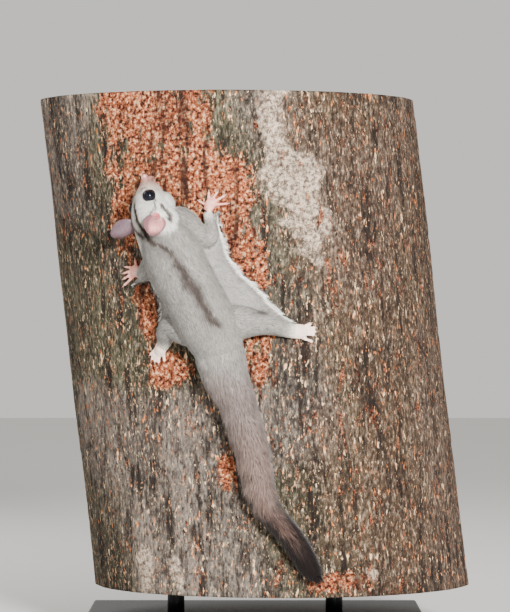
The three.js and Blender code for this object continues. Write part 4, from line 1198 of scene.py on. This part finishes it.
whole = np.concatenate([endRings(rings[0])[::-1], rings, endRings(rings[-1])])
verts, quads, caps = closedLoft(whole)
log = solidObject("trunkBark", verts, [quads, caps])
tone = mix(bark["olive"], bark["grey"], smooth(0.35, 0.7, barkNoise(u, v, 14, 6, 49)))
band = 0.5 * barkNoise(wavy, v, 34, 3, 53) + 0.5 * barkNoise(wavy, v, 76, 7, 54)
tone = tone * (0.62 + 0.76 * smooth(0.2, 0.75, band))[..., None]
tone = mix(tone, bark["brown"], smooth(20, 90, arc + 60 * (blotch - 0.5)) * 0.8)
tone = mix(tone, bark["dark"], np.clip(0.45 * crack + 0.35 * finer, 0, 0.9))
# the sawn ends take the next ring's tones, and 1 in the first of the three masks: end, worn, lichen
tone = np.pad(tone, ((len(steps), len(steps)), (0, 0), (0, 0)), "edge").reshape(-1, 3)
colourVerts(log, np.concatenate([tone, tone[:1], tone[-1:]]))
masks = np.pad(np.stack([0 * worn, worn, lichen], -1), ((len(steps), len(steps)), (0, 0), (0, 0)))
masks[:len(steps), :, 0] = masks[-len(steps):, :, 0] = 1
colourVerts(log, np.concatenate([masks.reshape(-1, 3), [[1, 0, 0], [1, 0, 0]]]), "masks")

barkMaterial, shader = newMaterial("bark", roughness=0.85, specular=0.3)
place, long, furrow = placeNode(shader), placeNode(shader, (1, 1, 0.38)), placeNode(shader, (1, 1, 0.16))
isEnd, isWorn, isLichen = newNode(shader, "SeparateColor", {"Color": attributeColour(shader, "masks")}).outputs[:3]


def solidTone(r, g, b):
    return (*lin(r, g, b), 1)


# noise about 0, spread by an amount
def ragged(noise, amount):
    return mathNode("MULTIPLY", mathNode("SUBTRACT", noise, 0.5), amount)


# grey bark: dark vertical streaks and specks, with many small pale and orange flecks
grain = noiseNode(long, 420, 8, 0.75)
colour = mixNode(attributeColour(shader), solidTone(206, 188, 166), rangeNode(grain, 0.52, 0.68, (0, 0.7)))
colour = mixNode(colour, solidTone(28, 24, 22), rangeNode(grain, 0.49, 0.37, (0, 0.95)))
streak = noiseNode(furrow, 95, 6, 0.7)
colour = mixNode(colour, solidTone(38, 31, 28), rangeNode(streak, 0.49, 0.38, (0, 0.88)))
flecks = mathNode("ADD", noiseNode(long, 330, 3, 0.55), mathNode("MULTIPLY", isWorn, 0.07))
fleck = mathNode("MAXIMUM", rangeNode(flecks, 0.62, 0.66), rangeNode(noiseNode(long, 620, 3, 0.6), 0.64, 0.68))
fleckPale = rangeNode(noiseNode(place, 120, 2), 0.42, 0.58)
fleckColour = mixNode(solidTone(226, 140, 84), solidTone(255, 226, 188), fleckPale)
colour = mixNode(colour, fleckColour, mathNode("MULTIPLY", fleck, 0.85))
# lichen: pale grey crusts with ragged edges
crust = mathNode("ADD", isLichen, ragged(noiseNode(place, 90, 8, 0.72), 2.6))
crustPale = rangeNode(noiseNode(place, 260, 8, 0.8), 0.44, 0.56)
crustColour = mixNode(solidTone(104, 88, 78), solidTone(232, 212, 190), crustPale)
colour = mixNode(colour, crustColour, rangeNode(crust, 0.55, 0.95, (0, 0.75)))
# worn places: crumbly orange inner bark from dark rust to orange, the palest tone a painted highlight on the raised
# crumbs and the darkest painted shade in the low gaps, by the same noise as the bump
chunk = noiseNode(place, 300, 10, 0.72)
# painted shade: near black in the lowest gaps between the crumbs
orange = mixNode(solidTone(34, 28, 28), solidTone(116, 66, 48), rangeNode(chunk, 0.40, 0.45))
orange = mixNode(orange, solidTone(190, 114, 80), rangeNode(chunk, 0.45, 0.5))
# painted highlight: palest where the crumbs stand highest
orange = mixNode(orange, solidTone(248, 208, 170), rangeNode(chunk, 0.53, 0.6))
orange = mixNode(orange, solidTone(58, 36, 32), rangeNode(noiseNode(furrow, 70, 7, 0.72), 0.5, 0.4, (0, 0.85)))
bareness = rangeNode(mathNode("ADD", isWorn, ragged(noiseNode(long, 110, 9, 0.82), 6.2)), 0.5, 0.62)
colour = mixNode(colour, orange, bareness)
# sawn ends: growth rings round the trunk's middle
growth = newNode(shader, "TexWave", {"Vector": place, "Scale": 42, "Distortion": 2.2, "Detail": 3},
                 wave_type="RINGS", rings_direction="Z")
endColour = mixNode(solidTone(196, 160, 116), solidTone(150, 112, 74), growth.outputs["Fac"])
feed(shader.inputs["Base Color"], mixNode(colour, endColour, isEnd))
barkHeight = mathNode("ADD", grain, mathNode("ADD", streak, mathNode("MULTIPLY", fleck, 0.2)))
wornHeight = mathNode("SUBTRACT", mathNode("MULTIPLY", chunk, 2.2), 0.3)
bumpNode(shader, newNode(shader, "Mix", {0: bareness, 2: barkHeight, 3: wornHeight}).outputs[0], 1.0, 0.0022)
log.data.materials.append(barkMaterial)
placed(log, "bark", "perch_trunk")
print("trunk")

# the stand: a flat base and two short rods in satin black paint
paintMaterial, shader = newMaterial("standPaint", colour=(0.022, 0.022, 0.024, 1))
grain = noiseNode(placeNode(shader), 900, 3)
feed(shader.inputs["Roughness"], rangeNode(grain, 0.3, 0.7, (0.34, 0.46)))
bumpNode(shader, grain, 0.12, 0.0002)
stand = {"bevel": 2.5, "rodSides": 48, "rodEdge": 0.6, "rodStep": 0.4}
for node in ("stand_base", "stand_rod_left", "stand_rod_right"):
    low, high = [np.array(c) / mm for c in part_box(node)]
    middle, half = (low + high) / 2, (high - low) / 2
    if node == "stand_base":
        plan = middle[:2] + np.array([[-1, -1], [1, -1], [1, 1], [-1, 1]]) * half[:2]
        verts = np.concatenate([np.column_stack([plan, np.full(4, z)]) for z in (low[2], high[2])])
        faces = np.array([[3, 2, 1, 0], [4, 5, 6, 7], [0, 1, 5, 4], [1, 2, 6, 5], [2, 3, 7, 6], [3, 0, 4, 7]])
        ob = meshObject("standBase", verts, faces, False)
        bevel = ob.modifiers.new("bevel", "BEVEL")
        bevel.width = stand["bevel"] * mm
        bevel.segments = 4
    else:
        # four rings up the rod, the first and last a little narrower
        a = fullTurn(stand["rodSides"])
        narrow, step = half[0] - stand["rodEdge"], stand["rodStep"]
        radii = [narrow, half[0], half[0], narrow]
        levels = [low[2], low[2] + step, high[2] - step, high[2]]
        rings = np.stack([np.stack([middle[0] + r * np.cos(a), middle[1] + r * np.sin(a), np.full(len(a), z)], -1)
                          for r, z in zip(radii, levels)])
        verts, quads, caps = closedLoft(rings)
        ob = solidObject(node.replace("_", ""), verts, [quads, caps])
    ob.data.materials.append(paintMaterial)
    placed(ob, "stand_paint", node)
print("stand")

# the camera, the floor and the light
lens = {"fromAxis": 3195.0, "focal": 198.0, "height": 306.0}
cameraData = bpy.data.cameras.new("camera")
cameraData.lens = lens["focal"]
cameraData.clip_end = 50
camera = bpy.data.objects.new("camera", cameraData)
camera.location = (0, -lens["fromAxis"] * mm, lens["height"] * mm)
camera.rotation_euler = (math.pi / 2, 0, 0)
bpy.context.scene.collection.objects.link(camera)
bpy.context.scene.camera = camera

floorMaterial, _ = newMaterial("floor", colour=(0.74, 0.73, 0.71, 1), roughness=0.85)
corners = 6000.0 * np.array([[-1, -1, 0], [1, -1, 0], [1, 1, 0], [-1, 1, 0]])
floor = meshObject("floor", corners, np.array([[0, 1, 2, 3]]), False)
floor.data.materials.append(floorMaterial)

world = bpy.data.worlds.new("studio")
world.use_nodes = True
world.node_tree.nodes["Background"].inputs[0].default_value = (1.0, 0.98, 0.95, 1)
world.node_tree.nodes["Background"].inputs[1].default_value = 0.6
bpy.context.scene.world = world
bpy.context.scene.view_settings.view_transform = "AgX"
bpy.context.scene.view_settings.look = "AgX - Medium High Contrast"
# place and size in millimetres, power in watts
lights = {"key": ((650, -2500, 850), 380, 109), "fill": ((-1600, -1500, 900), 1200, 6),
          "rim": ((-900, 1300, 1300), 700, 10)}
lightAim = Vector((-30, -180, 300)) * mm
for name, (place, size, power) in lights.items():
    data = bpy.data.lights.new(name, "AREA")
    data.size = size * mm
    data.energy = power
    light = bpy.data.objects.new(name, data)
    light.location = Vector(place) * mm
    light.rotation_euler = (lightAim - light.location).to_track_quat("-Z", "Y").to_euler()
    bpy.context.scene.collection.objects.link(light)

print("floor, camera and lights")
